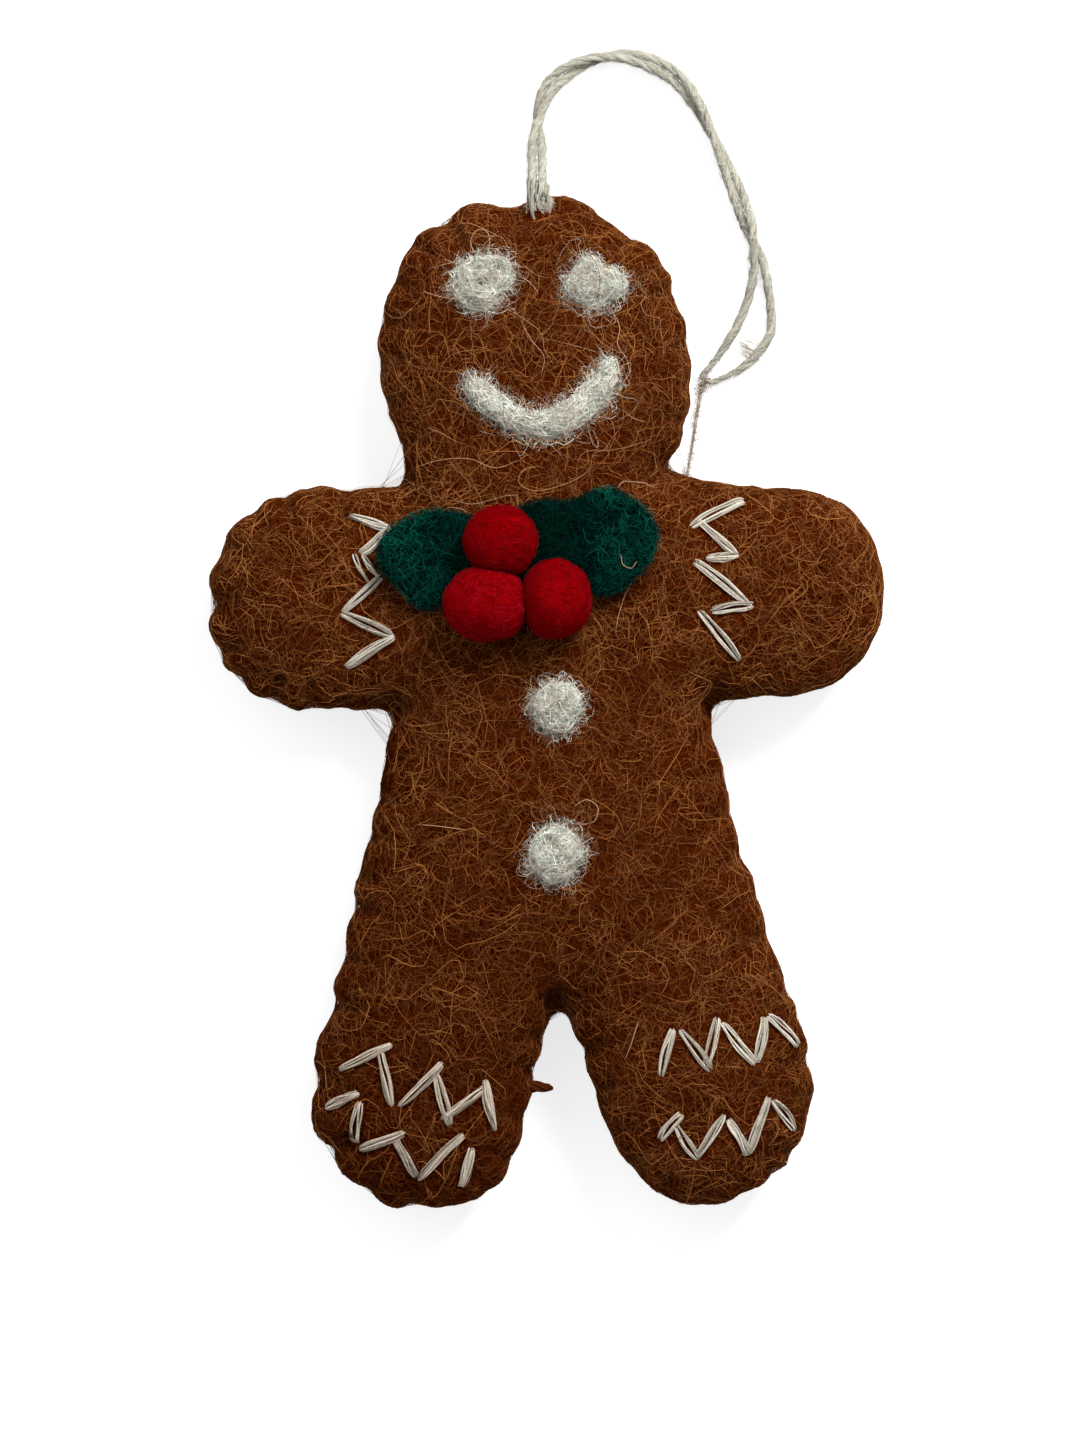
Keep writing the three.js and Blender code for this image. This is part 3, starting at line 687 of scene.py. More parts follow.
# Curls: a noise of each fibre's own bends it, and it lies down again on what is under it.
mine = add("GeometryNodeCurveOfPoint")["Curve Index"]
own = at_random(add, (-50, -50, -50), (50, 50, 50), given["Seed"], PLACE, ID=mine)
own_place = here * (1.0 / given["Curl Size"]) + own
bend = add("ShaderNodeTexNoise", {"Vector": own_place, "Scale": 1.0, "Detail": 0.0})["Color"]
bent = here + (bend - (0.5, 0.5, 0.5)) * (given["Curl"] * 4.0)
ground = add("GeometryNodeObjectInfo", {"Object": given["Lie On"]})["Geometry"]
nearest = add("GeometryNodeProximity", {0: ground, 2: bent}, target_element="FACES")
inputs = {"Mesh": ground, "Value": add("GeometryNodeInputNormal"), "Sample Position": bent}
upright = add("GeometryNodeSampleNearestSurface", inputs, data_type=PLACE)
loft = add("ShaderNodeTexNoise", {"Vector": own_place + (91.0, 13.0, 57.0), "Scale": 0.8})
loft = loft.spread(0.38, 0.72, 0.0, given["Lift"])
steep = add("ShaderNodeSeparateXYZ", {0: upright})["Z"]
loft = loft * steep.spread(0.0, 0.6, given["Wall Share"], 1.0)

# Stitches hold fibres down, and nothing goes through the table.
stitches = add("GeometryNodeObjectInfo", {"Object": given["Pressed By"]})["Geometry"]
held_down = add("GeometryNodeProximity", {0: stitches, 2: bent}, target_element="EDGES")
close_to = held_down["Distance"].spread(HELD_WITHIN, FREE_BEYOND, 1.0, 0.0)
close_to = close_to * held_down["Is Valid"]
loft = loft * (1.0 - close_to) - close_to * given["Pressed In"] + given["Radius"] * 0.6
settled = add("ShaderNodeSeparateXYZ", {0: nearest + upright * loft})
height = settled["Z"].at_least(given["Floor"])
above = add("ShaderNodeCombineXYZ", {"X": settled["X"], "Y": settled["Y"], "Z": height})
laid = add("GeometryNodeSetPosition", {"Geometry": laid, "Position": above})
tone = at_random(add, 0.0, 1.0, given["Seed"] + 3.0, ID=mine)
laid = stored(add, laid, "tone", tone ** given["Tone Power"] * given["Tone Gain"])
ring = add("GeometryNodeCurvePrimitiveCircle", {"Resolution": 3, "Radius": given["Radius"]})
hairs = tubes(add, laid, ring, 1.0 - towards_ends(add, 4.0) * 0.75)
feed(end, {"Fibres": finished(add, hairs, given["Material"])})
print("tree:", fibre_tree.name, len(fibre_tree.nodes), "nodes")


LOWEST_FIBRE = 0.15  # above the table, mm


def fibres(name, wool_on, lie_on, material, seed, per_mm2, length, curl, curl_size, lift,
           radius, points=9, under=0.4, low=(-200, -200, -200), high=(200, 200, 200),
           pressed_by=None, wall=0.2, gain=1.0, power=1.8, disorder=1.0):
    """Loose fibres rooted on one object and lying on another. Sizes are in mm."""
    in_mm = {
        "Low Corner": low, "High Corner": high, "Length": length, "Curl": curl,
        "Curl Size": curl_size, "Lift": lift, "Radius": radius, "Floor": LOWEST_FIBRE,
    }
    values = {label: (np.array(value) * MM).tolist() for label, value in in_mm.items()}
    values.update({
        "Lie On": lie_on, "Pressed By": pressed_by, "Fibres per Area": per_mm2 / MM**2,
        "Underside Share": under, "Wall Share": wall, "Tone Gain": gain, "Tone Power": power,
        "Disorder": disorder, "Points": points, "Seed": seed, "Material": material,
    })
    return run_tree(linked(name, wool_on.data.copy()), fibre_tree, values)


# %% [markdown]
# ## The hanging loop
#
# One length of soft cotton twine is sewn into the seam at the top of the head, folded at its
# far end, and its two strands twist round each other on the way. It follows the CAD model's
# route closely. Three plies wind round that line to make the twine itself.

# %% The twine's route
STRAND_SPACING = 1.24  # between the middles of the two twisted strands
SAMPLES_PER_CORNER = 3
TWINE_POINTS = 500
QUARTER_TURNS_AT = (0, 0.8, 2.3, 3.9, 5.4, 8.0, 10.2, 11.3, 12)  # counted in the pair's corners
first_end = [(-1.85, 59.6, 8.1), (-1.78, 62.8, 8.1), (-1.72, 66.0, 6.1)]
second_end = [(-0.25, 59.6, 8.1), (-0.33, 62.8, 8.1), (-0.44, 66.0, 6.1)]
pair_corners = [
    (-1.1, 69.3, 3.7), (-0.95, 73.2, 1.85), (0.4, 77.1, 1.45), (3.5, 79.7, 1.45),
    (7.6, 81.1, 1.45), (12.0, 80.7, 1.45), (16.2, 78.5, 1.45), (19.05, 74.95, 1.45),
    (21.0, 71.1, 1.45), (22.75, 67.05, 1.45), (24.4, 62.9, 1.45), (25.8, 58.8, 1.45),
    (26.8, 54.7, 1.35),
]
eye_corners = [
    (28.25, 49.8, 0.75), (28.2, 46.4, 0.75), (25.8, 42.9, 0.75), (22.6, 40.85, 0.75),
    (20.6, 40.2, 0.75), (19.7, 41.0, 0.75), (20.7, 42.2, 0.75), (23.4, 46.1, 0.75),
    (25.2, 49.9, 0.75),
]
pair_line = smooth_line(pair_corners, steps=SAMPLES_PER_CORNER)
ahead = along_line(pair_line)
reached = np.arange(len(pair_line)) / SAMPLES_PER_CORNER
turn = np.interp(reached, QUARTER_TURNS_AT, np.arange(len(QUARTER_TURNS_AT)) * math.pi / 2)
aside = unit(left_of(ahead))
apart = np.column_stack([aside * np.cos(turn)[:, None], np.sin(turn)]) * STRAND_SPACING / 2
twine_corners = np.vstack([
    first_end, pair_line + apart, eye_corners, (pair_line - apart)[::-1], second_end[::-1]
])
twine_line = smooth_line(twine_corners)
twine_length = lengths_along(twine_line)[-1]
twine_line = even_steps(twine_line, TWINE_POINTS)
print(f"twine {twine_length:.1f} mm long")

# %% [markdown]
# A ply is a helix about the route. To wind it evenly, the route needs a sideways direction that
# doesn't spin by itself, so one is carried from point to point along the line.


# %% Plies
def side_frames(line):
    """Two directions across a line, carried along it without turning about it."""
    ahead = along_line(line)
    side = np.zeros_like(line)
    side[0] = np.cross(ahead[0], (0, 0, 1))
    for i in range(1, len(line)):
        carried = side[i - 1] - ahead[i] * side[i - 1].dot(ahead[i])
        side[i] = carried / np.linalg.norm(carried)
    return side, np.cross(ahead, side)


def plies(line, count, reach, pitch, seed=0):
    """Helices about a line, a little uneven as in real twine."""
    side, up = side_frames(line)
    far = lengths_along(line)
    made = []
    for k in range(count):
        turn = 2 * math.pi * (far / pitch + k / count)
        drift = soft_noise(far, 0.35, seed, k * 5.0)
        wide = (reach * (1 + 0.25 * drift))[:, None]
        angle = (turn + 0.5 * drift)[:, None]
        made.append(line + wide * (np.cos(angle) * side + np.sin(angle) * up))
    return made


PLY_RADIUS = 0.36
PLY_REACH, PLY_PITCH = 0.23, 6.5  # from the twine's middle to a ply's, and a ply's full turn
WORN, WORN_REACH, WORN_BY = (21.6, 41.0), 3.2, 0.45  # the worn stretch beside the fold
END_REACH, FULLER_BY = 6, 0.15  # the ends are fuller, where the twine is sewn down
from_worn = np.hypot(*(twine_line[:, :2] - WORN).T)
from_end = np.minimum(lengths_along(twine_line), twine_length - lengths_along(twine_line))
full = 1 - WORN_BY * near(from_worn, WORN_REACH) + FULLER_BY * near(from_end, END_REACH)
winding = plies(twine_line, 3, PLY_REACH * full, PLY_PITCH)
twine = spun("hanging_twine", winding, twine_thread, PLY_RADIUS, 8, -0.25, fullness=[full] * 3)
dressed(twine, "cream_twine", "hanging_loop")

# %% [markdown]
# ## Light, floor and background
#
# A plain pale table, a bright even sky and one large soft light from the top of the picture.
# Their strengths add up to about one, so that a colour renders about as it is written. The
# camera sees the floor as white, and the soft shadow stays on it.


# %% World and lamps
SKY_SEEN, SKY_LIGHT = 1.0, 0.5  # strengths
GLOW = 0.74  # what the floor adds of its own where it is looked at


def softbox(name, place, size, watts):
    data = bpy.data.lights.new(name, "AREA")
    data.shape, data.size, data.energy = "SQUARE", size, watts
    lamp = linked(name, data)
    lamp.location = place
    lamp.rotation_euler = (-Vector(place)).to_track_quat("-Z", "Y").to_euler()


def looked_at(add):
    """1 for what the camera sees, directly or by a mirror or glass, and 0 for other light."""
    path = add("ShaderNodeLightPath")
    straight = path["Is Camera Ray"].at_least(path["Is Glossy Ray"])
    return straight.at_least(path["Is Transmission Ray"])


softbox("key light", (0.24, 0.42, 0.46), 0.3, 7.0)
softbox("fill light", (-0.3, 0.25, 0.6), 0.5, 1.0)

world = bpy.data.worlds.new("studio")
world.use_nodes = True
scene.world = world
strength = looked_at(partial(step, world.node_tree)).spread(0, 1, SKY_LIGHT, SKY_SEEN)
feed(world.node_tree.nodes["Background"], {"Color": (1, 1, 1, 1), "Strength": strength})
print("lamps:", len(bpy.data.lights))

# %% The floor
HALF = 2000
floor_material, add, principled = shader("pale table")
tree = floor_material.node_tree
behind = add("ShaderNodeNewGeometry")["Backfacing"]
paper = add("ShaderNodeBsdfDiffuse", {"Color": (0.5, 0.5, 0.5, 1)})
glow = add("ShaderNodeEmission", {"Strength": looked_at(add) * GLOW})
lit_paper = add("ShaderNodeAddShader", {0: paper, 1: glow})
clear = add("ShaderNodeBsdfTransparent")
surface = add("ShaderNodeMixShader", {0: behind, 1: lit_paper, 2: clear})
feed(tree.nodes["Material Output"], {"Surface": surface})
tree.nodes.remove(principled)
floor = mesh_object(
    "table",
    [(-HALF, -HALF, 0), (HALF, -HALF, 0), (HALF, HALF, 0), (-HALF, HALF, 0)],
    [(0, 1, 2, 3)],
    floor_material,
)
floor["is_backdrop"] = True

# %% [markdown]
# ## The shape of the body
#
# Both panels were cut along one outline. It is drawn through the same points as in the CAD
# model, each given as a share of the head, the arms or the legs.

# %% Frames and outline
LEG_HEIGHT, WAIST_RISE, ARM_WIDTH, NECK_RISE, HEAD_HEIGHT = 61.9, 0.5, 27.2, 0.8, 36
HEAD_WIDTH, HEAD_ASIDE, ARM_SPAN, FOOT_SPAN, FEET_ASIDE = 38.9, -1.5, 84.4, 62.5, 1.75
body_height = LEG_HEIGHT + WAIST_RISE + ARM_WIDTH + NECK_RISE + HEAD_HEIGHT
waist_up = LEG_HEIGHT - body_height / 2
arms_up = waist_up + WAIST_RISE + ARM_WIDTH / 2
neck_up = arms_up + ARM_WIDTH / 2 + NECK_RISE

head_shares = [
    (0.86, 0.06), (0.93, 0.13), (0.985, 0.24), (1, 0.37), (0.985, 0.5), (0.92, 0.635),
    (0.815, 0.77), (0.63, 0.87), (0.41, 0.945), (0.2, 0.99), (-0.06, 0.975), (-0.33, 0.985),
    (-0.56, 0.935), (-0.75, 0.86), (-0.88, 0.745), (-0.965, 0.61), (-1, 0.455), (-0.95, 0.26),
    (-0.87, 0.13), (-0.83, 0.04),
]
left_arm_shares = [
    (-0.5, 1.01), (-0.62, 1), (-0.765, 0.96), (-0.885, 0.81), (-0.968, 0.5), (-1, 0.08),
    (-0.99, -0.36), (-0.92, -0.77), (-0.79, -0.98), (-0.61, -1.02), (-0.49, -1.03),
]
right_arm_shares = [
    (0.49, -1.02), (0.62, -0.93), (0.78, -0.835), (0.905, -0.63), (0.98, -0.32), (1, 0.08),
    (0.966, 0.51), (0.886, 0.83), (0.755, 0.98), (0.57, 1.03), (0.44, 1.05),
]
leg_shares = [
    (-0.69, -0.06), (-0.715, -0.14), (-0.75, -0.23), (-0.8, -0.33), (-0.845, -0.43),
    (-0.895, -0.53), (-0.955, -0.645), (-0.995, -0.77), (-0.965, -0.865), (-0.84, -0.945),
    (-0.56, -1), (-0.32, -0.972), (-0.19, -0.895), (-0.13, -0.795), (-0.085, -0.68),
    (-0.045, -0.62), (-0.012, -0.604), (0.03, -0.618), (0.08, -0.675), (0.148, -0.788),
    (0.236, -0.889), (0.38, -0.966), (0.572, -1), (0.808, -0.95), (0.96, -0.862),
    (1, -0.77), (0.965, -0.642), (0.9, -0.53), (0.83, -0.44), (0.775, -0.35),
    (0.715, -0.26), (0.665, -0.165), (0.62, -0.07),
]
frames = {
    "head": (np.array([HEAD_ASIDE, neck_up]), np.array([HEAD_WIDTH / 2, HEAD_HEIGHT])),
    "arms": (np.array([0, arms_up]), np.array([ARM_SPAN / 2, ARM_WIDTH / 2])),
    "legs": (np.array([FEET_ASIDE, waist_up]), np.array([FOOT_SPAN / 2, LEG_HEIGHT])),
}


def placed(frame_name, shares):
    middle, size = frames[frame_name]
    return np.asarray(shares) * size + middle


outline = smooth_line(
    np.vstack([
        placed("head", head_shares),
        placed("arms", left_arm_shares),
        placed("legs", leg_shares),
        placed("arms", right_arm_shares),
    ]),
    closed=True,
)
outline = np.vstack([outline, outline[:1]])
edge_length = lengths_along(outline)[-1]


def edge_at(lengths):
    """Points on the outline and the directions inwards from it."""
    ahead = walked(outline, (lengths + 0.2) % edge_length)
    behind = walked(outline, (lengths - 0.2) % edge_length)
    return walked(outline, lengths % edge_length), left_of(unit(ahead - behind))


STITCHES = 82
SCALLOP_DEPTH = 0.7
spots, inwards = edge_at(np.arange(STITCHES * 3) / (STITCHES * 3) * edge_length)
spots[::3] += inwards[::3] * SCALLOP_DEPTH
middle = (spots.min(0) + spots.max(0)) / 2
outline -= middle
frames = {name: (at - middle, size) for name, (at, size) in frames.items()}
print(f"edge {edge_length:.1f} mm round, {STITCHES} stitches, middle moved by {middle}")

# %% [markdown]
# ### The scalloped edge
#
# A whip stitch every 5 mm pulls the edge in, and the felt bulges between two stitches. The
# stitches were sewn by hand: some are deep and some hardly show, mostly those along the arm on
# the right. The clearest notches are listed one by one, and the rest fall evenly between them.
# Scissors and stitches also left the edge fuller here and flatter there, by up to 1.2 mm.

# %% Stitch places
STITCH_WANDER = 0.45  # how far a stitch may lie from its even place, mm
STITCH_DEPTHS, CLEAR_DEPTH = (0.35, 0.85), 1.05
SMOOTH_SIDE, SMOOTH_SHARE = (24, -4), 0.45  # right of and above this, notches hardly show
rng = np.random.default_rng(12)
clear_notches = [
    (447, 222), (412, 244), (345, 490), (288, 497), (255, 513), (224, 541), (216, 602),
    (220, 652), (245, 680), (274, 699), (310, 706), (355, 905), (334, 1001), (318, 1079),
    (333, 1147), (371, 1187), (410, 1204), (533, 1068), (672, 290), (738, 487), (788, 994),
    (806, 1060), (790, 1155), (776, 1172),
]
stitch_at = np.arange(STITCHES) * edge_length / STITCHES
stitch_at += rng.uniform(-STITCH_WANDER, STITCH_WANDER, STITCHES)
stitch_depth = rng.uniform(*STITCH_DEPTHS, STITCHES)
FINE_PLACES = 4000  # places along the edge, to find the nearest one
fine_at = np.linspace(0, edge_length, FINE_PLACES, endpoint=False)
fine_spots, _ = edge_at(fine_at)


def edge_place(pixel):
    """How far along the edge its nearest place to a pixel is."""
    return fine_at[np.linalg.norm(fine_spots - at_pixel(*pixel), axis=1).argmin()]


for pixel in clear_notches:
    place = edge_place(pixel)
    chosen = np.abs(stitch_at - place).argmin()
    stitch_at[chosen] = place
    stitch_depth[chosen] = CLEAR_DEPTH
places, _ = edge_at(stitch_at)
stitch_depth[(places > SMOOTH_SIDE).all(1)] *= SMOOTH_SHARE
order = np.argsort(stitch_at % edge_length)
stitch_at, stitch_depth = (stitch_at % edge_length)[order], stitch_depth[order]
gaps = np.diff(stitch_at)
print(f"stitches {gaps.min():.2f} to {gaps.max():.2f} mm apart")


# %% Hand-cut edge
trims = [  # where, how far outwards in mm, over what width in mm
    (503, 197, -1.2, 2.0), (481, 1187, 0.76, 6.0), (623, 223, -0.99, 3.5), (444, 218, -0.6, 6.0),
    (234, 520, -0.55, 6.0), (385, 1198, 0.7, 3.5), (826, 682, 0.53, 6.0), (324, 1013, -0.91, 2.0),
    (780, 958, -0.49, 6.0), (546, 1024, 0.41, 6.0), (701, 485, 0.67, 2.0), (785, 1157, 0.37, 6.0),
    (313, 1084, -0.64, 2.0), (800, 1049, 0.3, 1.2), (328, 1149, -0.55, 2.0), (560, 205, 0.15, 1.2),
    (394, 482, -0.52, 2.0), (717, 772, 0.67, 1.2), (387, 726, -0.66, 1.2), (340, 962, -0.38, 3.5),
    (580, 202, -0.3, 1.2), (234, 677, -0.63, 1.2), (210, 607, -0.63, 1.2), (392, 279, -0.35, 3.5),
    (662, 1190, 0.59, 1.2), (808, 1091, 0.57, 1.2), (213, 558, -0.57, 1.2), (226, 538, 0.59, 1.2),
    (390, 755, 0.57, 1.2), (302, 705, 0.57, 1.2), (414, 241, 0.56, 1.2), (741, 847, -0.31, 3.5),
    (317, 490, 0.53, 1.2), (766, 485, -0.5, 1.2), (883, 610, -0.2, 6.0), (749, 700, -0.35, 2.0),
    (423, 1206, -0.43, 1.2), (392, 429, -0.41, 1.2), (681, 308, -0.46, 1.2), (360, 878, 0.45, 1.2),
    (315, 1122, 0.39, 1.2), (401, 1204, 0.38, 1.2), (469, 1203, -0.38, 1.2), (320, 1040, 0.38, 1.2),
    (553, 1020, -0.37, 1.2), (437, 224, -0.39, 1.2), (356, 706, 0.34, 2.0), (809, 1121, -0.33, 2.0),
]
trim_at = [edge_place((x, y)) for x, y, _, _ in trims]


def trimmed(lengths):
    """How far outwards the edge lies from the even outline, for places along it."""
    outwards = np.zeros(len(lengths))
    for middle, (_, _, amount, width) in zip(trim_at, trims):
        away = np.abs((lengths - middle + edge_length / 2) % edge_length - edge_length / 2)
        outwards += amount * near(away, width)
    return outwards


# %% The scalloped loop
def stitch_share(lengths):
    """For places along the edge: how far through its scallop each is, and both depths."""
    following = np.searchsorted(stitch_at, lengths % edge_length, side="right")
    before = (following - 1) % STITCHES
    after = following % STITCHES
    span = (stitch_at[after] - stitch_at[before]) % edge_length
    share = ((lengths - stitch_at[before]) % edge_length) / span
    return share, stitch_depth[before], stitch_depth[after], span


def scalloped(lengths):
    spot, inward = edge_at(lengths)
    share, before, after, _ = stitch_share(lengths)
    bulge = np.sin(math.pi * share) ** 0.7
    inset = (before + (after - before) * share) * (1 - bulge) - trimmed(lengths)
    return spot + inward * inset[:, None], inward


LOOP_POINTS = STITCHES * 9
loop_at = np.arange(LOOP_POINTS) / LOOP_POINTS * edge_length
loop, loop_inwards = scalloped(loop_at)
print("loop box, mm:", loop.min(0).round(2), loop.max(0).round(2))


# %% [markdown]
# ### How a stuffed form swells
#
# Filling lifts the felt most where the edge is far away on every side. A distance that feels
# the whole edge at once, and not just its nearest point, gives full smooth forms with soft
# valleys at the neck and the armpits, and no creases down the middle.


# %% Distances from the edge
def in_chunks(points, work):
    return np.concatenate([work(part) for part in np.array_split(points, len(points) // 300 + 1)])


def soft_distance(points, edge):
    ahead = np.roll(edge, -1, 0) - edge
    length = np.linalg.norm(ahead, axis=1)
    along = ahead / length[:, None]

    def work(part):
        away = edge[None] - part[:, None]
        start = (away * along).sum(2)
        end = start + length
        height = np.abs(away[..., 0] * along[:, 1] - away[..., 1] * along[:, 0])
        height = np.maximum(height, 1e-3 * length)
        pull = (end / np.hypot(end, height) - start / np.hypot(start, height)) / height**2
        return np.sqrt(2 / pull.sum(1))

    return in_chunks(points, work)


def edge_distance(points, edge):
    ahead = np.roll(edge, -1, 0) - edge
    length_sq = (ahead**2).sum(1)

    def work(part):
        away = part[:, None] - edge[None]
        share = np.clip((away * ahead).sum(2) / length_sq, 0, 1)
        return np.linalg.norm(away - share[..., None] * ahead, axis=2).min(1)

    return in_chunks(points, work)


def inside_of(points, edge):
    following = np.roll(edge, -1, 0)
    rise = following[:, 1] - edge[:, 1]
    rise = np.where(rise == 0, 1e-12, rise)

    def work(part):
        up = part[:, 1:2]
        crosses = (edge[:, 1] > up) != (following[:, 1] > up)
        at = edge[:, 0] + (following[:, 0] - edge[:, 0]) * (up - edge[:, 1]) / rise
        return (crosses & (part[:, 0:1] < at)).sum(1) % 2 == 1

    return in_chunks(points, work)


PUFF_REACH = 5  # how far in from the edge most of the swelling is done
FRONT_PUFF, BACK_PUFF = 8.8, 7.2  # the most that each panel may swell
FELT = 1.6  # how thick the felt is
HALF_GAP = 0.15  # between a panel and the middle of the seam
STITCH_MARGIN = 2.4  # how far in from the edge the filling begins


def swell(distance):
    return np.sqrt(well_inside(np.maximum(distance, 0), PUFF_REACH))


def outer_height(puff, depth):
    return FELT + puff * swell(depth)


def inner_height(puff, depth):
    return HALF_GAP + (puff - HALF_GAP) * swell(depth - STITCH_MARGIN)


# %% [markdown]
# ### A net over the outline
#
# The surface is a net of triangles: rows of points that follow the scallops close to the edge,
# where the felt turns steeply, and an even field of points inside.


# %% Nets
def grid_inside(edge, spacing, clear):
    low, high = edge.min(0), edge.max(0)
    rows = np.arange(low[1], high[1], spacing * math.sin(math.pi / 3))
    points = np.array([
        (x, y)
        for row, y in enumerate(rows)
        for x in np.arange(low[0] + (row % 2) * spacing / 2, high[0], spacing)
    ])
    points = points[inside_of(points, edge)]
    return points[edge_distance(points, edge) > clear]


def ring_inside(edge, inward, inset):
    points = edge + inward * inset
    keep = inside_of(points, edge) & (edge_distance(points, edge) > 0.86 * inset)
    return points[keep]


def net_over(edge, inner):
    """Triangles over an edge loop and the points inside it. The loop's points come first."""
    points = np.vstack([edge, inner])
    count = len(edge)
    corners, _, faces, _, _, _ = geometry.delaunay_2d_cdt(
        [Vector(p) for p in points], [], [tuple(range(count))], 1, 1e-6
    )
    assert len(corners) == len(points)
    return points, [tuple(face) for face in faces], count


def closed_sheet(count, faces, rows):
    """A closed shell: rows holds the top's points, rim rows of the loop, and the bottom's."""
    top, *rims, bottom = rows
    total = len(top)
    shell = [tuple(face) for face in faces]
    ring = list(range(count))
    start = total
    for _ in rims:
        following = list(range(start, start + count))
        shell += strip(ring, following)
        ring, start = following, start + count
    shell += strip(ring, list(range(start, start + count)))
    shell += [tuple(i + start for i in reversed(face)) for face in faces]
    return np.vstack([top, *rims, bottom]), shell


def strip(upper, lower):
    return [
        (lower[i], lower[(i + 1) % len(upper)], upper[(i + 1) % len(upper)], upper[i])
        for i in range(len(upper))
    ]


rings = [ring_inside(loop, loop_inwards, inset)[::every] for inset, every in (
    (0.2, 1), (0.45, 1), (0.8, 1), (1.25, 1), (1.75, 1), (2.3, 2),
)]
NET_SPACING, FIELD_INSET = 0.85, 2.75
field = grid_inside(loop, NET_SPACING, FIELD_INSET)
net, net_faces, net_edge = net_over(loop, np.vstack([*rings, field]))
net_depth = np.zeros(len(net))
net_depth[net_edge:] = soft_distance(net[net_edge:], loop)
print(f"net: {len(net)} points, {len(net_faces)} triangles, fullest {net_depth.max():.1f} mm")

# %% [markdown]
# ### Filling the form
#
# Padded felt is best blown up by a cloth simulation: the two panels are joined into one shell,
# held along the seam and at every stitch hole, and pressure lifts what is between. It starts a
# little slack, is run ten times too large so that the solver's forces suit it, and no point may
# move more than a millimetre or so. Only the movement is kept, and is carried to the fine net.

# %% The slack shell
SLACK = 0.93  # how full the form is before the pressure
PRESSURE = 4
FRAMES = 20
MOST_MOVED = 1.3  # by the pressure
HOLE_INSET = 2.3  # from the edge to a stitch's hole
COARSE = 1.9  # between points of the slack net
SIM_SCALE = 10

hole_spots, hole_inwards = scalloped(stitch_at)
holes = hole_spots + hole_inwards * HOLE_INSET
holes = holes[inside_of(holes, loop) & (edge_distance(holes, loop) > 0.6 * HOLE_INSET)]
slack_loop = loop[::3]
slack_field = grid_inside(slack_loop, COARSE, HOLE_INSET + COARSE * 0.7)
slack_ring = ring_inside(slack_loop, loop_inwards[::3], 1.1)[::2]
slack_net, slack_faces, slack_edge = net_over(
    slack_loop, np.vstack([holes, slack_ring, slack_field])
)
slack_depth = np.zeros(len(slack_net))
slack_depth[slack_edge:] = soft_distance(slack_net[slack_edge:], loop)


def shell_surface(plan, depth, puff, side):
    """Points on the front (side 1) or the back (side -1) of the body."""
    height = SEAM_UP + side * outer_height(puff, depth)
    return np.column_stack([plan, np.maximum(height, 0)])


front_slack = shell_surface(slack_net, slack_depth, FRONT_PUFF * SLACK, 1)
back_slack = shell_surface(slack_net, slack_depth, BACK_PUFF * SLACK, -1)
shell_points, shell_faces = closed_sheet(slack_edge, slack_faces, [front_slack, back_slack])
held = list(range(slack_edge + len(holes)))
held += [i + len(slack_net) for i in held]
print(f"slack shell: {len(shell_points)} points, {len(held)} held")


# %% The pressure
def blown_up(points, faces, held):
    """Where the points of a held shell go under pressure."""
    shell = mesh_object("slack shell", points * SIM_SCALE, faces)
    pinned = shell.vertex_groups.new(name="held")
    pinned.add(held, 1.0, "REPLACE")
    cloth = shell.modifiers.new("pressure", "CLOTH")
    cloth.settings.use_pressure = True
    cloth.settings.uniform_pressure_force = PRESSURE
    cloth.settings.effector_weights.gravity = 0
    cloth.settings.vertex_group_mass = "held"
    cloth.settings.quality = 6
    cloth.collision_settings.use_collision = False
    cloth.point_cache.frame_start, cloth.point_cache.frame_end = 1, FRAMES
    for frame_number in range(1, FRAMES + 1):
        scene.frame_set(frame_number)
    baked(shell)
    moved = mesh_points(shell) / SIM_SCALE
    scene.frame_set(1)
    bpy.data.objects.remove(shell)
    return moved


swelling = blown_up(shell_points, shell_faces, held) - shell_points
reach = np.linalg.norm(swelling, axis=1, keepdims=True)
print(f"pressure moved points {np.median(reach):.2f} mm, {reach.max():.2f} at most")
swelling *= np.minimum(1, MOST_MOVED / np.maximum(reach, 1e-9))


CARRIED_FROM = 6  # the nearest points of the slack net


def carried(values, plan):
    """Values at the slack net's points, carried smoothly to other places in the plan."""
    finder = plan_finder(slack_net)
    result = np.zeros((len(plan), values.shape[1]))
    for i, spot in enumerate(plan):
        found = finder.find_n((*spot, 0), CARRIED_FROM)
        weight = np.array([1 / (distance**2 + 0.3) ** 2 for _, _, distance in found])
        result[i] = weight @ values[[index for _, index, _ in found]] / weight.sum()
    return result


calm = well_inside(net_depth, 0.8)[:, None]  # the seam itself stays where it was
front_swelling = carried(swelling[: len(slack_net)], net) * calm
back_swelling = carried(swelling[len(slack_net) :], net) * calm
print("swelling carried to", len(net), "points")

# %% [markdown]
# ### Puckers, creases and lumps
#
# A tight stitch draws a small groove from the edge to its hole, and the felt puffs up between.
# Deeper creases run in from the neck, the armpits and the crotch, where the panel has to turn
# sharply. The filling also shows through as soft lumps.

# %% Relief of the surface
edge_finder = plan_finder(fine_spots)
net_along = np.array([fine_at[edge_finder.find((*spot, 0))[1]] for spot in net])
net_inset = edge_distance(net, loop)
net_inset[:net_edge] = 0


def smooth_rise(low, high, value):
    share = np.clip((value - low) / (high - low), 0, 1)
    return share * share * (3 - 2 * share)


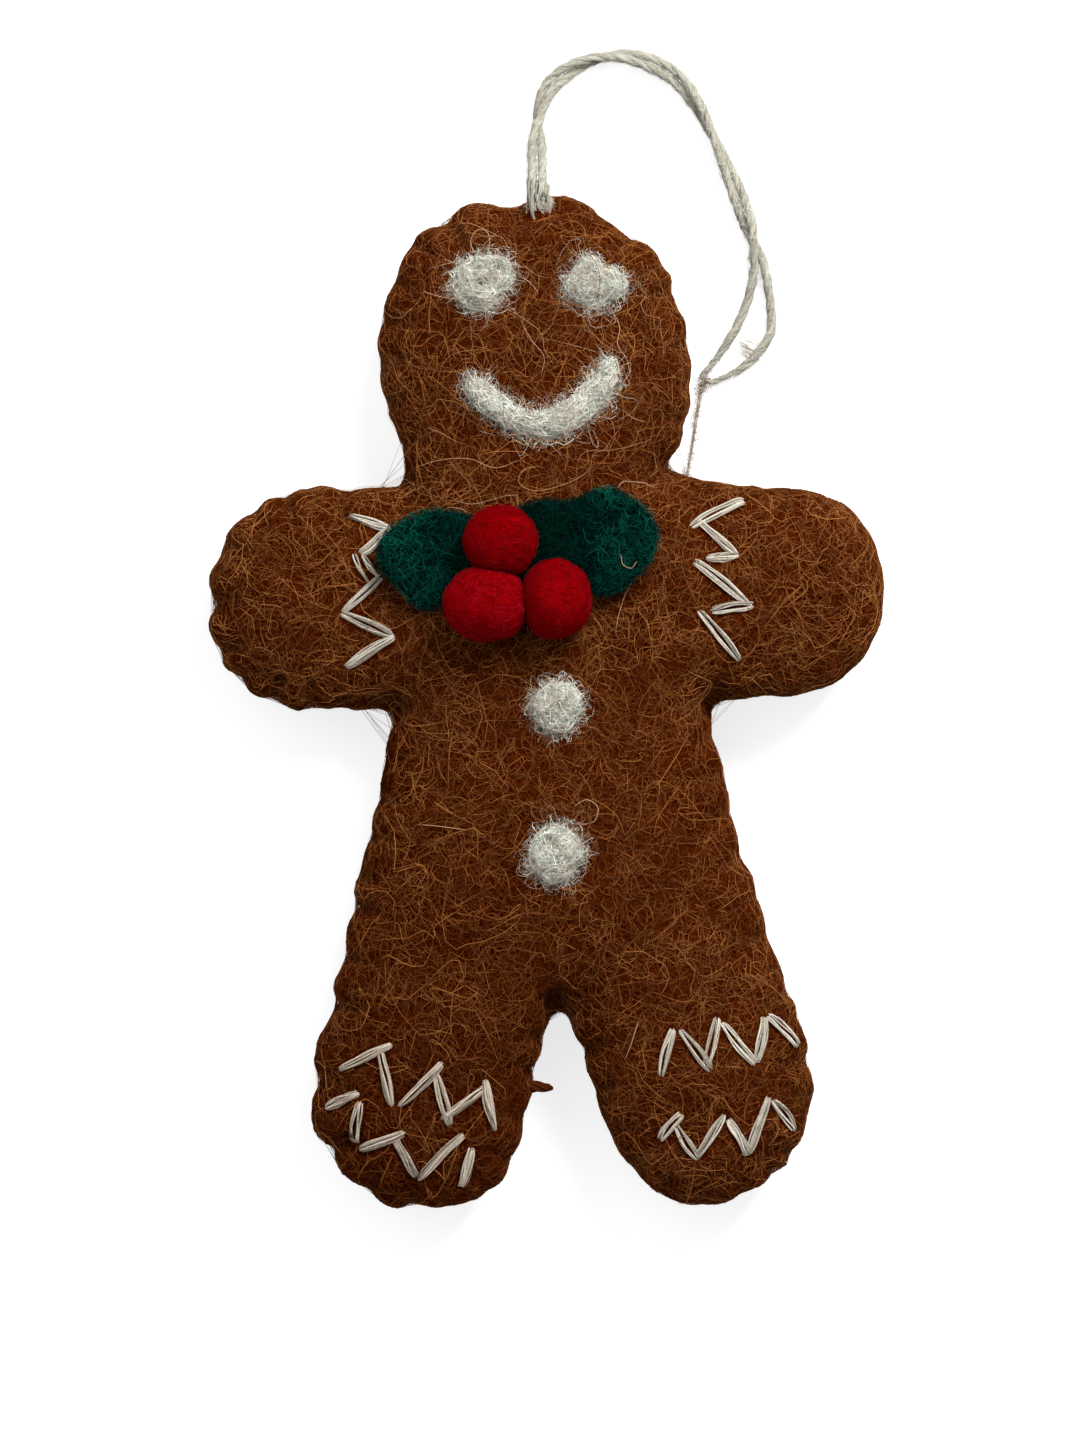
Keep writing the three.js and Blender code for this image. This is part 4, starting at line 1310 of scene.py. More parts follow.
share, depth_before, depth_after, span = stitch_share(net_along)
from_stitch = np.minimum(share, 1 - share) * span
stitch_pull = np.where(share < 0.5, depth_before, depth_after)
GROOVE_WIDTH, GROOVE_DEPTH, HOLE_WIDTH, HOLE_DEPTH, BULGE = 0.55, 0.75, 0.6, 0.85, 0.28
window = smooth_rise(0, 0.5, net_inset) * (1 - smooth_rise(2.1, 3.6, net_inset))
groove = stitch_pull * near(from_stitch, GROOVE_WIDTH) * window * GROOVE_DEPTH
from_hole = (from_stitch / HOLE_WIDTH) ** 2 + ((net_inset - HOLE_INSET) / HOLE_WIDTH) ** 2
groove += HOLE_DEPTH * stitch_pull * np.exp(-from_hole)
bulge = BULGE * np.sin(math.pi * share) ** 2
bulge = bulge * smooth_rise(0, 0.8, net_inset) * (1 - smooth_rise(1.6, 3.4, net_inset))

creases = [  # from a pixel, to a pixel, depth and width in mm
    ((398, 470), (432, 478), 1.0, 1.3), ((672, 474), (640, 484), 0.9, 1.3),
    ((412, 484), (450, 470), 0.5, 1.0), ((660, 486), (626, 476), 0.5, 1.0),
    ((391, 712), (408, 672), 1.3, 1.6), ((392, 706), (430, 690), 0.7, 1.2),
    ((376, 704), (352, 690), 0.7, 1.4), ((712, 706), (692, 668), 1.2, 1.6),
    ((722, 700), (748, 688), 0.6, 1.3), ((708, 710), (676, 712), 0.6, 1.2),
    ((554, 1004), (548, 968), 1.3, 1.4), ((550, 1002), (524, 974), 0.8, 1.1),
    ((558, 1004), (590, 972), 0.8, 1.1), ((556, 1010), (566, 980), 0.6, 1.0),
    ((542, 1040), (520, 1052), 0.5, 1.1), ((533, 1078), (508, 1092), 0.8, 1.1),
    ((420, 880), (470, 905), 0.25, 3.0), ((690, 880), (640, 910), 0.25, 3.0),
]


def crease_relief(plan):
    total = np.zeros(len(plan))
    for start, end, depth, width in creases:
        a, b = at_pixel(*start), at_pixel(*end)
        t = np.clip((plan - a) @ (b - a) / ((b - a) @ (b - a)), 0, 1)
        away = np.linalg.norm(plan - (a + t[:, None] * (b - a)), axis=1)
        total += depth * (1 - 0.7 * t) * near(away, width)
    return total


def lumps(plan, seed, coarse=0.40, fine=0.14):
    """Soft lumps of filling, and the small unevenness of the felt."""
    wide, middling = soft_noise(plan, 0.11, seed), soft_noise(plan, 0.24, seed + 9)
    return coarse * wide + 0.5 * coarse * middling + fine * soft_noise(plan, 0.62, seed + 20)


def normals_of(points, faces):
    corners = np.array(faces)
    a, b, c = (points[corners[:, k]] for k in range(3))
    across = np.cross(b - a, c - a)
    normals = np.zeros_like(points)
    for k in range(3):
        np.add.at(normals, corners[:, k], across)
    return unit(normals)


inner_calm = well_inside(net_inset, 1.2)
front_relief = lumps(net, 3.0) * inner_calm + bulge - groove - crease_relief(net)
back_relief = lumps(net, 8.0) * inner_calm + bulge - groove - 0.8 * crease_relief(net)


def surface(puff, side, swelling, relief):
    points = shell_surface(net, net_depth, puff * SLACK, side) + swelling
    normals = normals_of(points, net_faces) * side
    points[net_edge:] += (normals * relief[:, None])[net_edge:]
    points[:, 2] = np.maximum(points[:, 2], 0.02)
    return points


front = surface(FRONT_PUFF, 1, front_swelling, front_relief)
back = surface(BACK_PUFF, -1, back_swelling, back_relief)
print(f"front up to {front[:, 2].max():.1f} mm, back down to {back[:, 2].min():.2f} mm")

# %% [markdown]
# ## The two felt panels
#
# Each panel is a sheet 1.6 mm thick with a wall at its cut edge. The cut edges round over and
# meet in a groove at the seam. Both are closed meshes of their own, padded by the filling.

# %% Panels
SEAM_TUCK = 0.3  # the cut edge is tucked in this far at the seam
LIP = 0.75  # the middle of a panel's wall, off the seam
loop_finder = plan_finder(loop)
net_inward = np.array([loop_inwards[loop_finder.find((*spot, 0))[1]] for spot in net])
tuck = net_inward * (SEAM_TUCK * np.exp(-net_inset / 0.8))[:, None]


def lining(outer, puff, side):
    """The inner face of a panel, a felt's thickness behind its outer face."""
    wall = outer_height(puff, net_depth) - inner_height(puff, net_depth)
    inner = outer.copy()
    inner[:, :2] += tuck
    inner[:, 2] -= side * wall
    if side > 0:
        inner[:, 2] = np.maximum(inner[:, 2], SEAM_UP + HALF_GAP)
    else:
        inner[:, 2] = np.clip(inner[:, 2], FELT, SEAM_UP - HALF_GAP)
    return inner


def lip(side):
    """The cut edge, half way down its wall."""
    return np.column_stack([loop, np.full(net_edge, SEAM_UP + side * LIP)])


front_shell = closed_sheet(net_edge, net_faces, [front, lip(1), lining(front, FRONT_PUFF, 1)])
back_shell = closed_sheet(net_edge, net_faces, [lining(back, BACK_PUFF, -1), lip(-1), back])
front_panel = mesh_object("front_panel", *front_shell, brown_felt)
back_panel = mesh_object("back_panel", *back_shell, brown_felt)
for panel, node in ((front_panel, "front_felt"), (back_panel, "back_felt")):
    dressed(panel, "brown_felt", node)

# %% [markdown]
# What lies on the felt needs to know where the felt is. One ray cast straight down finds the
# height, and the normals of the nearest points give a smooth direction out of the felt.

# %% Finding the felt
skin_points, skin_faces = closed_sheet(net_edge, net_faces, [front, back])
skin = mesh_object("skin", skin_points, skin_faces)
front_rays = BVHTree.FromPolygons(front.tolist(), net_faces)
back_rays = BVHTree.FromPolygons(back.tolist(), net_faces)
front_normals = normals_of(front, net_faces)
front_finder = plan_finder(front)
RAY_START = 60  # well above the felt, or below it
SMOOTHED_OVER = 14  # the nearest points, for the direction out of the felt


def on_front(plan, lift=0.0):
    """Points on the front felt, lifted along its normal."""
    lifts = np.broadcast_to(lift, len(plan))
    placed_points = []
    for spot, up in zip(plan, lifts):
        hit, _, _, _ = front_rays.ray_cast(Vector((*spot, RAY_START)), Vector((0, 0, -1)))
        found = front_finder.find_n((*spot, 0), SMOOTHED_OVER)
        normal = front_normals[[index for _, index, _ in found]].mean(0)
        normal /= np.linalg.norm(normal)
        base = np.array(hit) if hit else front[found[0][1]]
        placed_points.append(base + normal * up)
    return np.array(placed_points)


def back_height(spot):
    hit, _, _, _ = back_rays.ray_cast(Vector((*spot, -RAY_START)), Vector((0, 0, 1)))
    return hit[2] if hit else SEAM_UP - FELT


print("felt under the upper button:", on_front([at_pixel(556, 707)]).round(2))

# %% [markdown]
# ## The filling
#
# Nobody sees the filling, but the ornament is stuffed all the same. Each wad is taken from its
# CAD solid, remeshed into an even skin and drawn in here and there, as loose fibre is.

# %% Wads of filling
WAD_MESH, WAD_DRAW = 0.9, 0.45  # the size of its net, how far it is drawn in at most
WADS = ("head", "torso", "left_arm", "right_arm", "left_leg", "right_leg")
for number, place in enumerate(WADS):
    wad = linked("filling_" + place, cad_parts["stuffing_" + place].data.copy())
    wad.data.materials.clear()
    wad.data.materials.append(white_filling)
    weld = wad.modifiers.new("weld", "WELD")
    weld.merge_threshold = 0.001 * MM
    remesh = wad.modifiers.new("remesh", "REMESH")
    remesh.mode, remesh.voxel_size, remesh.use_smooth_shade = "VOXEL", WAD_MESH * MM, True
    soften = wad.modifiers.new("soften", "SMOOTH")
    soften.factor, soften.iterations = 0.5, 4
    baked(wad)
    for vertex in wad.data.vertices:
        draw = 0.5 + 0.5 * noise.noise(vertex.co / MM * 0.35 + Vector((number, 0, 0)))
        vertex.co -= vertex.normal * draw * WAD_DRAW * MM
    dressed(wad, "fibre_filling", "stuffing_" + place)

# %% [markdown]
# ## The face and the buttons
#
# Each white patch is a tuft of wool, pushed into the felt with a barbed needle until it holds.
# It is highest in its middle, pitted where the needle went in, and it thins out at its rim.
# The patch is a closed form that follows the felt, and its loose fibres come later.


# %% Needled patches
PATCH_SPACING = 0.34  # between points of the wool's net
PATCH_RING = 0.22  # the first row of points inside its edge
PATCH_LIFT = 0.06  # between the felt and the underside of the wool
PATCH_INSET = 0.5  # the solid tuft stays this far inside the fringe of fibres
PATCH_RIM = 0.14  # how thick the wool is at its edge
PATCH_ROUND = 0.85  # how soon it rounds up to its full height
THINNEST_WOOL = 0.08  # where a pit goes deepest


def loop_through(pixels, spacing):
    """An even anticlockwise loop through pixels of the picture, in mm."""
    corners = at_pixels(pixels)
    following = np.roll(corners, -1, 0)
    turned = (corners[:, 0] * following[:, 1] - following[:, 0] * corners[:, 1]).sum()
    if turned < 0:
        corners = corners[::-1]
    line = smooth_line(corners, closed=True)
    line = np.vstack([line, line[:1]])
    count = round(lengths_along(line)[-1] / spacing)
    return walked(line, np.arange(count) / count * lengths_along(line)[-1])


def evened(edge):
    """An edge loop with even spaces between its points."""
    closed = np.vstack([edge, edge[:1]])
    count = round(lengths_along(closed)[-1] / PATCH_SPACING)
    return even_steps(closed, count + 1)[:-1]


def inward_of(edge):
    return left_of(unit(np.roll(edge, -1, 0) - np.roll(edge, 1, 0)))


def drawn_in(edge, depth, rounds=6):
    """An edge loop moved inwards a little at a time, and spaced evenly again each time."""
    for _ in range(rounds):
        edge = evened(edge + inward_of(edge) * depth / rounds)
    return edge


def needled_patch(name, edge, raise_, seed, pits, swirl=None):
    """A tuft of wool over an edge loop. Pits are (pixel x, pixel y, depth, radius), in mm."""
    edge = drawn_in(edge, PATCH_INSET)
    ring = ring_inside(edge, inward_of(edge), PATCH_RING)
    inner = grid_inside(edge, PATCH_SPACING, PATCH_RING + PATCH_SPACING * 0.6)
    plan, faces, count = net_over(edge, np.vstack([ring, inner]))
    depth = edge_distance(plan, edge)
    depth[:count] = 0
    crown = PATCH_RIM + (raise_ - PATCH_RIM) * well_inside(depth, PATCH_ROUND)
    calm = well_inside(depth, 0.5)
    crown += calm * (0.22 * soft_noise(plan, 0.55, seed) + 0.13 * soft_noise(plan, 1.5, seed + 5))
    for x, y, deep, radius in pits:
        away = np.hypot(*(plan - at_pixel(x, y)).T)
        crown -= calm * deep * near(away, radius)
    if swirl:
        pixel, pitch, deep = swirl
        away = plan - at_pixel(*pixel)
        turns = np.hypot(*away.T) / pitch + np.arctan2(away[:, 1], away[:, 0]) / (2 * math.pi)
        crown -= calm * deep * (0.5 + 0.5 * np.cos(2 * math.pi * turns)) ** 3
    top = on_front(plan, PATCH_LIFT + np.maximum(crown, THINNEST_WOOL))
    sheet = closed_sheet(count, faces, [top, on_front(plan, PATCH_LIFT)])
    return mesh_object(name, *sheet, white_wool)


def combed(patch, ways):
    """Gives the wool a way that its fibres follow, one direction for each point."""
    flat = np.column_stack([ways, np.zeros(len(ways))]).astype(np.float32).ravel()
    patch.data.attributes.new("comb", "FLOAT_VECTOR", "POINT").data.foreach_set("vector", flat)


smile_middle = [
    (473, 386), (482, 396), (497, 409), (511, 419), (527, 425), (545, 427), (560, 423),
    (573, 415), (587, 403), (600, 387), (606, 374), (607, 362),
]
smile_widths = [28, 34, 33, 31, 33, 36, 37, 36, 37, 38, 33, 19]
SPINE_POINTS = 30
spine = smooth_line(at_pixels(smile_middle))
spine = even_steps(spine, SPINE_POINTS)
shares = np.linspace(0, 1, SPINE_POINTS), np.linspace(0, 1, len(smile_widths))
half = np.interp(*shares, smile_widths) / PIXELS_PER_MM / 2
ways = along_line(spine)
across = left_of(ways)
smile_edge = smooth_line(np.vstack([
    spine - across * half[:, None],
    [spine[-1] + ways[-1] * half[-1] * 0.75],
    (spine + across * half[:, None])[::-1],
    [spine[0] - ways[0] * half[0] * 0.75],
]), closed=True, steps=6)

patch_plan = {  # the edge in pixels, the height in mm, a seed, the pits and a swirl
    "left_eye": ([
        (450, 282), (454, 269), (463, 262), (476, 256), (490, 255), (503, 257), (512, 262),
        (517, 272), (519, 282), (516, 291), (509, 298), (503, 306), (494, 315), (483, 319),
        (471, 317), (461, 311), (454, 303), (450, 293),
    ], 1.6, 2.0, [(503, 297, 1.5, 0.7), (476, 271, 0.8, 0.65), (481, 289, 1.2, 0.7),
                  (492, 279, 0.6, 0.7)], ((486, 284), 2.3, 0.5)),
    "right_eye": ([
        (577, 259), (590, 255), (600, 259), (606, 267), (617, 271), (627, 278), (631, 287),
        (627, 298), (616, 307), (603, 314), (592, 317), (580, 312), (569, 305), (563, 298),
        (560, 286), (565, 277), (571, 268),
    ], 1.6, 4.0, [(598, 286, 0.8, 0.8), (604, 270, 0.9, 0.7), (596, 303, 0.7, 0.8)]),
    "upper_button": ([
        (556, 677), (570, 680), (580, 688), (585, 700), (586, 712), (579, 722), (572, 733),
        (560, 736), (547, 737), (538, 728), (530, 717), (527, 705), (532, 693), (542, 683),
    ], 1.6, 6.0, [(560, 706, 0.6, 0.7), (546, 716, 0.4, 0.6)]),
    "lower_button": ([
        (552, 820), (565, 821), (576, 829), (583, 839), (586, 853), (580, 865), (575, 877),
        (563, 885), (550, 886), (540, 882), (532, 872), (526, 861), (525, 848), (531, 835),
        (540, 825),
    ], 1.7, 8.0, [(552, 842, 0.6, 0.7), (566, 866, 0.5, 0.6)]),
    "smile": (None, 1.35, 10.0, [(528, 414, 0.5, 0.7), (560, 408, 0.45, 0.6),
                                 (591, 384, 0.45, 0.7), (485, 398, 0.5, 0.6)]),
}
patches = []
for node, (pixels, *rest) in patch_plan.items():
    edge = loop_through(pixels, PATCH_SPACING) if pixels else evened(smile_edge)
    patch = needled_patch(node + "_wool", edge, *rest)
    patches.append(dressed(patch, "white_wool", node))
    points = mesh_points(patch)[:, :2]
    if node == "smile":
        nearest = np.argmin(np.linalg.norm(points[:, None] - spine[None], axis=2), axis=1)
        combed(patch, ways[nearest])
    else:
        combed(patch, left_of(points - points.mean(0)))

# %% [markdown]
# ## The holly
#
# The three berries are felted wool balls, rolled round and then sewn down, so they press flat
# on the chest and on each other. The leaves are cut from green felt and lie under them. Their
# tips lift off the chest, and the berries are cut out of their roots as they press into them.


# %% Berries
SLOPE_STEP = 0.2  # to either side, where the front's slope is measured


def smooth_front(spot, lift):
    """A point over the CAD model's even front, lifted along its normal."""
    around = spot + SLOPE_STEP * np.array([(0, 0), (1, 0), (-1, 0), (0, 1), (0, -1)])
    here, right, left, up, down = outer_height(FRONT_PUFF, soft_distance(around, loop))
    normal = np.array([left - right, down - up, 2 * SLOPE_STEP])
    normal /= np.linalg.norm(normal)
    return np.array([*spot, SEAM_UP + here]) + normal * lift


BERRY_PRESS, BERRY_GAP = 1.2, 0.06  # how far one is pressed in, the gap between two
berry_plan = {
    "berry_left": ((-0.182, -0.055), 10.0, (1.06, 0.93, 1.0), (0.4, -0.25)),
    "berry_right": ((0.041, -0.009), 9.6, (0.92, 1.02, 1.0), (-0.6, -0.3)),
    "berry_top": ((-0.133, 0.56), 9.4, (0.96, 0.95, 1.0), (0.05, -1.0)),
}
berry_balls = {
    name: (
        smooth_front(placed("arms", share), 0.3 + size / 2 - BERRY_PRESS) + (*shift, 0),
        size / 2,
    )
    for name, (share, size, _, shift) in berry_plan.items()
}


def pressed_ball(name, number):
    """A felted ball, flat where it meets its neighbours and the chest."""
    middle, radius = berry_balls[name]
    ball = bpy.data.meshes.new(name + "_ball")
    shape = bmesh.new()
    bmesh.ops.create_icosphere(shape, subdivisions=5, radius=radius * MM)
    shape.to_mesh(ball)
    shape.free()
    made = linked(name + "_ball", ball)
    points = mesh_points(made)
    out_of = points / radius
    rough = np.array([
        0.22 * noise.noise(Vector(p) * 0.28 + Vector((number * 9, 0, 0)))
        + 0.06 * noise.noise(Vector(p) * 1.1 + Vector((0, number * 9, 0)))
        for p in points
    ])
    points = middle + (points + out_of * rough[:, None]) * berry_plan[name][2]
    for other, (far_middle, far_radius) in berry_balls.items():
        if other == name:
            continue
        between = far_middle - middle
        apart = np.linalg.norm(between)
        toward = between / apart
        wall = (apart**2 + radius**2 - far_radius**2) / (2 * apart) - BERRY_GAP
        over = np.maximum((points - middle) @ toward - wall, 0)
        points -= over[:, None] * toward
    low = points[:, 2] < middle[2]
    ground = on_front(points[low, :2], 0.08)[:, 2]
    points[low, 2] = np.maximum(points[low, 2], ground)
    made.data.vertices.foreach_set("co", (points * MM).ravel())
    made.data.polygons.foreach_set("use_smooth", [True] * len(made.data.polygons))
    made.data.materials.append(red_wool)
    return made


berries = [pressed_ball(name, number) for number, name in enumerate(berry_balls)]
for berry, node in zip(berries, berry_balls):
    dressed(berry, "red_wool", node)

# %% Leaves
left_leaf_edge = [
    (474, 522), (455, 515), (434, 513), (415, 519), (400, 526), (389, 534), (382, 548),
    (380, 561), (384, 572), (393, 582), (403, 590), (412, 602), (424, 609), (438, 606),
    (452, 596), (470, 580),
]
right_leaf_edge = [
    (520, 511), (533, 506), (547, 503), (566, 505), (580, 500), (594, 494), (610, 491),
    (626, 499), (640, 508), (650, 521), (656, 538), (652, 552), (646, 565), (635, 576),
    (622, 590), (606, 595), (592, 591), (580, 574), (562, 572), (544, 582), (524, 584),
    (514, 566), (512, 545), (514, 525),
]
LEAF_THICKNESS, LEAF_LIFT = 1.3, 3.0
LEAF_WAVE, FOLD_REACH = 0.7, 2.6
leaf_plan = {
    "left_leaf": (left_leaf_edge, (-1.0, 0.1), 12.5, (428, 560), 0.4),
    "right_leaf": (right_leaf_edge, (1.0, 0.05), 17.0, (600, 545), 0.56),
}


def felt_leaf(name, number):
    """A leaf of cut felt that lies on the chest at its root and lifts towards its tip."""
    pixels, way, length, fold, fold_deep = leaf_plan[name]
    edge = loop_through(pixels, 0.5)
    leaf_rings = [ring_inside(edge, inward_of(edge), inset) for inset in (0.2, 0.55)]
    plan, faces, count = net_over(edge, np.vstack([*leaf_rings, grid_inside(edge, 0.6, 0.95)]))
    way = np.array(way) / np.linalg.norm(way)
    reach = plan @ way
    far = np.clip((reach - reach.min()) / length, 0, 1)  # 0 at the root, 1 at the tip
    lift = LEAF_LIFT * far**2
    away = np.hypot(*(plan - at_pixel(*fold)).T)
    lift -= fold_deep * near(away, FOLD_REACH)
    wave = soft_noise(plan, 0.3, number + 3.0)
    lift = np.maximum(lift + LEAF_WAVE * wave * far, 0) + 0.1
    depth = edge_distance(plan, edge)
    depth[:count] = 0
    round_off = np.clip(1 - depth / (LEAF_THICKNESS * 0.5), 0, 1)
    thick = LEAF_THICKNESS / 2 * np.sqrt(np.maximum(1 - round_off**2, 0.02))
    fine = soft_noise(plan, 1.1, number + 30.0)
    middle = lift + LEAF_THICKNESS / 2
    felt_below = on_front(plan)
    top, bottom = felt_below.copy(), felt_below.copy()
    top[:, 2] += middle + thick + 0.12 * fine
    bottom[:, 2] += middle - thick
    leaf = mesh_object(name + "_felt", *closed_sheet(count, faces, [top, bottom]), green_felt)
    for berry in berries:
        cutter = linked("cutter", berry.data.copy())
        grown = cutter.modifiers.new("grow", "DISPLACE")
        grown.strength, grown.mid_level = 0.1 * MM, 0
        baked(cutter)
        cut = leaf.modifiers.new("press", "BOOLEAN")
        cut.object, cut.operation, cut.solver = cutter, "DIFFERENCE", "EXACT"
        baked(leaf)
        bpy.data.objects.remove(cutter)
    return leaf


leaves = [felt_leaf(name, number) for number, name in enumerate(leaf_plan)]
for leaf, node in zip(leaves, leaf_plan):
    dressed(leaf, "green_felt", node)

# %% [markdown]
# ## The zig-zag stitches
#
# Each zig-zag is cream cotton floss, several strands in one needle. A stitch comes up through
# the felt, lies across it as two loose bundles side by side, and goes down again.
# Every stitch is drawn from the picture, and the thread tree spins its strands.

# %% Stitches
stitch_rows = {
    "left_arm_zigzag": [
        (351, 517, 392, 530), (388, 532, 362, 554), (355, 556, 369, 583), (364, 558, 380, 577),
        (382, 578, 345, 613), (343, 614, 393, 636), (395, 637, 347, 667),
    ],
    "right_arm_zigzag": [
        (743, 502, 690, 528), (697, 522, 735, 556), (736, 556, 706, 559), (693, 562, 747, 605),
        (751, 606, 711, 612), (698, 612, 738, 661),
    ],
    "left_leg_upper_zigzag": [
        (340, 1068, 393, 1042), (381, 1047, 393, 1103), (400, 1103, 443, 1060),
        (436, 1070, 450, 1122), (443, 1116, 486, 1085), (485, 1078, 495, 1128),
    ],
    "left_leg_lower_zigzag": [
        (327, 1106, 359, 1091), (361, 1100, 357, 1140), (361, 1147, 405, 1130),
        (397, 1137, 417, 1173), (419, 1177, 464, 1132), (472, 1146, 462, 1184),
    ],
    "right_leg_upper_zigzag": [
        (660, 1073, 672, 1027), (679, 1028, 709, 1067), (705, 1063, 716, 1016),
        (721, 1021, 754, 1061), (754, 1060, 763, 1016), (767, 1014, 796, 1044),
    ],
    "right_leg_lower_zigzag": [
        (660, 1137, 680, 1112), (675, 1122, 697, 1156), (696, 1154, 723, 1113),
        (728, 1117, 746, 1152), (746, 1151, 767, 1095), (772, 1099, 793, 1128),
    ],
}
thin_stitches = {(355, 556, 369, 583), (364, 558, 380, 577)}
STRAND_RADIUS = 0.116
STRAND_STEPS = 15
WIDEST_PARTING = 0.25  # between the two bundles of a stitch
OPEN_PARTING = 0.14  # from here on the felt shows between the bundles
STITCH_REACH = 0.2  # a stitch goes on this far past its drawn ends, into its holes
SUNK = 0.5  # how far a stitch dips into the felt at its ends


def taut(heights):
    """A thread pulled tight over heights: it bridges hollows and bends over humps."""
    pulled = heights.copy()
    for i in range(len(heights)):
        for k in range(i + 2, len(heights)):
            between = np.interp(np.arange(i + 1, k), (i, k), (heights[i], heights[k]))
            pulled[i + 1:k] = np.maximum(pulled[i + 1:k], between)
    return pulled


def stitch_strands(stitch, number):
    """The strands of one stitch, as lines in mm."""
    start, end = at_pixel(*stitch[:2]), at_pixel(*stitch[2:])
    ahead = (end - start) / np.linalg.norm(end - start)
    start, end = start - ahead * STITCH_REACH, end + ahead * STITCH_REACH
    side = np.array([-ahead[1], ahead[0]])
    t = np.linspace(0, 1, STRAND_STEPS)
    middle = start + np.outer(t, end - start)
    arch = np.sin(math.pi * t)
    full = arch**0.55
    height = 0.2 * arch**0.6 - SUNK * (1 - arch) ** 6
    felt = on_front(middle)[:, 2]
    bridge = 0.8 * (taut(felt) - felt)
    rng = np.random.default_rng(number)
    parting = rng.uniform(0, WIDEST_PARTING) * full**2
    slack = rng.uniform(-0.22, 0.22) * arch  # the stitch lies in a slight arc
    least = np.interp(t, (0, 1), rng.uniform(0.25, 0.75, 2))  # some ends are broad, some narrow
    count = 2 if stitch in thin_stitches else 4
    lines = []
    for layer, wide in ((0, count), (1, count - 1)):
        for k in range(wide):
            place = k - (wide - 1) / 2
            if place == 0 and parting.max() > OPEN_PARTING:
                continue  # nothing lies over the gap between the bundles
            offset = place * STRAND_RADIUS * 2.5
            wander, heave = (
                soft_noise(t, 1.9, number * 7.1 + k * 3.3, layer * 5.0 + shift)
                for shift in (0.0, 31.0)
            )
            across_by = offset * (least + (1 - least) * full) + np.sign(place) * parting / 2
            across_by += slack + 0.26 * wander
            lift = STRAND_RADIUS * (0.8 + 1.5 * layer) + height + 0.2 * heave
            line = on_front(middle + np.outer(across_by, side), lift)
            line[:, 2] += bridge
            lines.append(line)
    return lines


for number, (row, stitches) in enumerate(stitch_rows.items()):
    lines = sum((stitch_strands(stitch, number * 10 + k) for k, stitch in enumerate(stitches)), [])
    # The left leg's floss is darker: painted shade.
    floss = shaded_floss if row.startswith("left_leg") else floss_thread
    stitched = spun(row + "_floss", lines, floss, STRAND_RADIUS, 7, 0.5)
    dressed(stitched, "cream_floss", row)

# %% [markdown]
# ## The seam
#
# A brown thread closes the edge with whip stitches. Each one comes out of a hole in the front,
# goes over both cut edges and into a hole in the back.

# %% Whip stitches
SEAM_THREAD_RADIUS = 0.14
seam_lines = []
spots, ways = scalloped(stitch_at)
for spot, way in zip(spots, ways):
    front_plan = [spot + way * inset for inset in (HOLE_INSET, 1.7, 1.1, 0.55)]
    over = on_front(front_plan, [-0.35, -0.04, 0.0, 0.03])
    wall = [
        (*(spot - way * out), SEAM_UP + up)
        for out, up in ((0.05, 1.9), (0.12, 0.9), (0.10, 0), (0.12, -0.9), (0.05, -1.9))
    ]
    under = [
        (*(spot + way * inset), max(back_height(spot + way * inset) + drop, 0.2))
        for inset, drop in ((0.55, -0.12), (1.1, -0.12), (1.7, -0.10), (HOLE_INSET, 0.25))
    ]
    seam_lines.append(smooth_line(np.vstack([over, wall, under]), steps=2))
whip = spun("seam_whip_stitches", seam_lines, seam_thread, SEAM_THREAD_RADIUS, 6, 0.6)
dressed(whip, "brown_felt")

# %% [markdown]
# The thread's end was knotted off between the legs, where a short stiff tuft stands out. At the
# top of the head, cream stitches anchor the hanging loop, and a thin frayed end trails from the
# loop's fold.


# %% Thread ends
def strand_bundle(corners, count, spread_by, seed):
    """Strands that wander beside one line and come together at its end."""
    line = smooth_line(corners, steps=3)
    share = np.linspace(0, 1, len(line))
    lines = []
    for k in range(count):
        turn = 2 * math.pi * k / count + share * 3
        wander = soft_noise(share, 3, seed, k * 4.4)
        reach = spread_by * (1 - 0.8 * share) * (1 + 0.6 * wander)
        offset = np.column_stack([np.cos(turn), np.sin(turn), np.sin(turn + 1)]) * reach[:, None]
        lines.append(line + offset)
    return lines


tuft_line = smooth_line([(*at_pixel(x, y), SEAM_UP + up) for x, y, up in (
    (510, 1088, 2.2), (522, 1086, 2.2), (534, 1086, 1.8), (545, 1087, 1.4), (553, 1088, 1.1),
)])
narrowing = np.interp(lengths_along(tuft_line), (0, 3.4, 4.9, 5.5), (1.6, 0.85, 0.65, 0.25))
tuft_lines = plies(tuft_line, 5, 0.55 * narrowing, 7.0, 2.0)
tuft_full = [narrowing**0.5] * len(tuft_lines)
tuft = spun("thread_tuft", tuft_lines, seam_thread, 0.3, 8, 0.6, 0.5, tuft_full)
dressed(tuft, "brown_felt")

anchor_plan = [  # where a strand leaves the twine, where it goes into the felt
    ((-2.0, 65.4), (-1.5, 60.1)), ((-1.6, 64.6), (-1.5, 61.3)), ((-1.1, 65.0), (-0.9, 61.4)),
    ((-0.7, 64.4), (-0.3, 61.5)), ((-0.3, 65.0), (0.25, 61.2)), ((0.1, 64.6), (0.45, 60.9)),
]
anchor_lines = []
for number, (leaves_at, goes_in) in enumerate(anchor_plan):
    leaves_at, goes_in = np.array(leaves_at), np.array(goes_in)
    free = [(*leaves_at, 7.1), (*(leaves_at - (0.0, 1.6)), 8.4)]
    spots = [(goes_in[0], 61.9), goes_in + (0.0, 0.3), goes_in - (0.0, 0.3)]
    over = on_front(spots, [0.75, 0.6, -0.4])
    anchor_lines += strand_bundle(np.vstack([free, over]), 4, 0.3, 10.0 + number)
anchor = spun("loop_anchor_stitches", anchor_lines, twine_thread, 0.12, 6, 0.5)
dressed(anchor, "cream_twine")


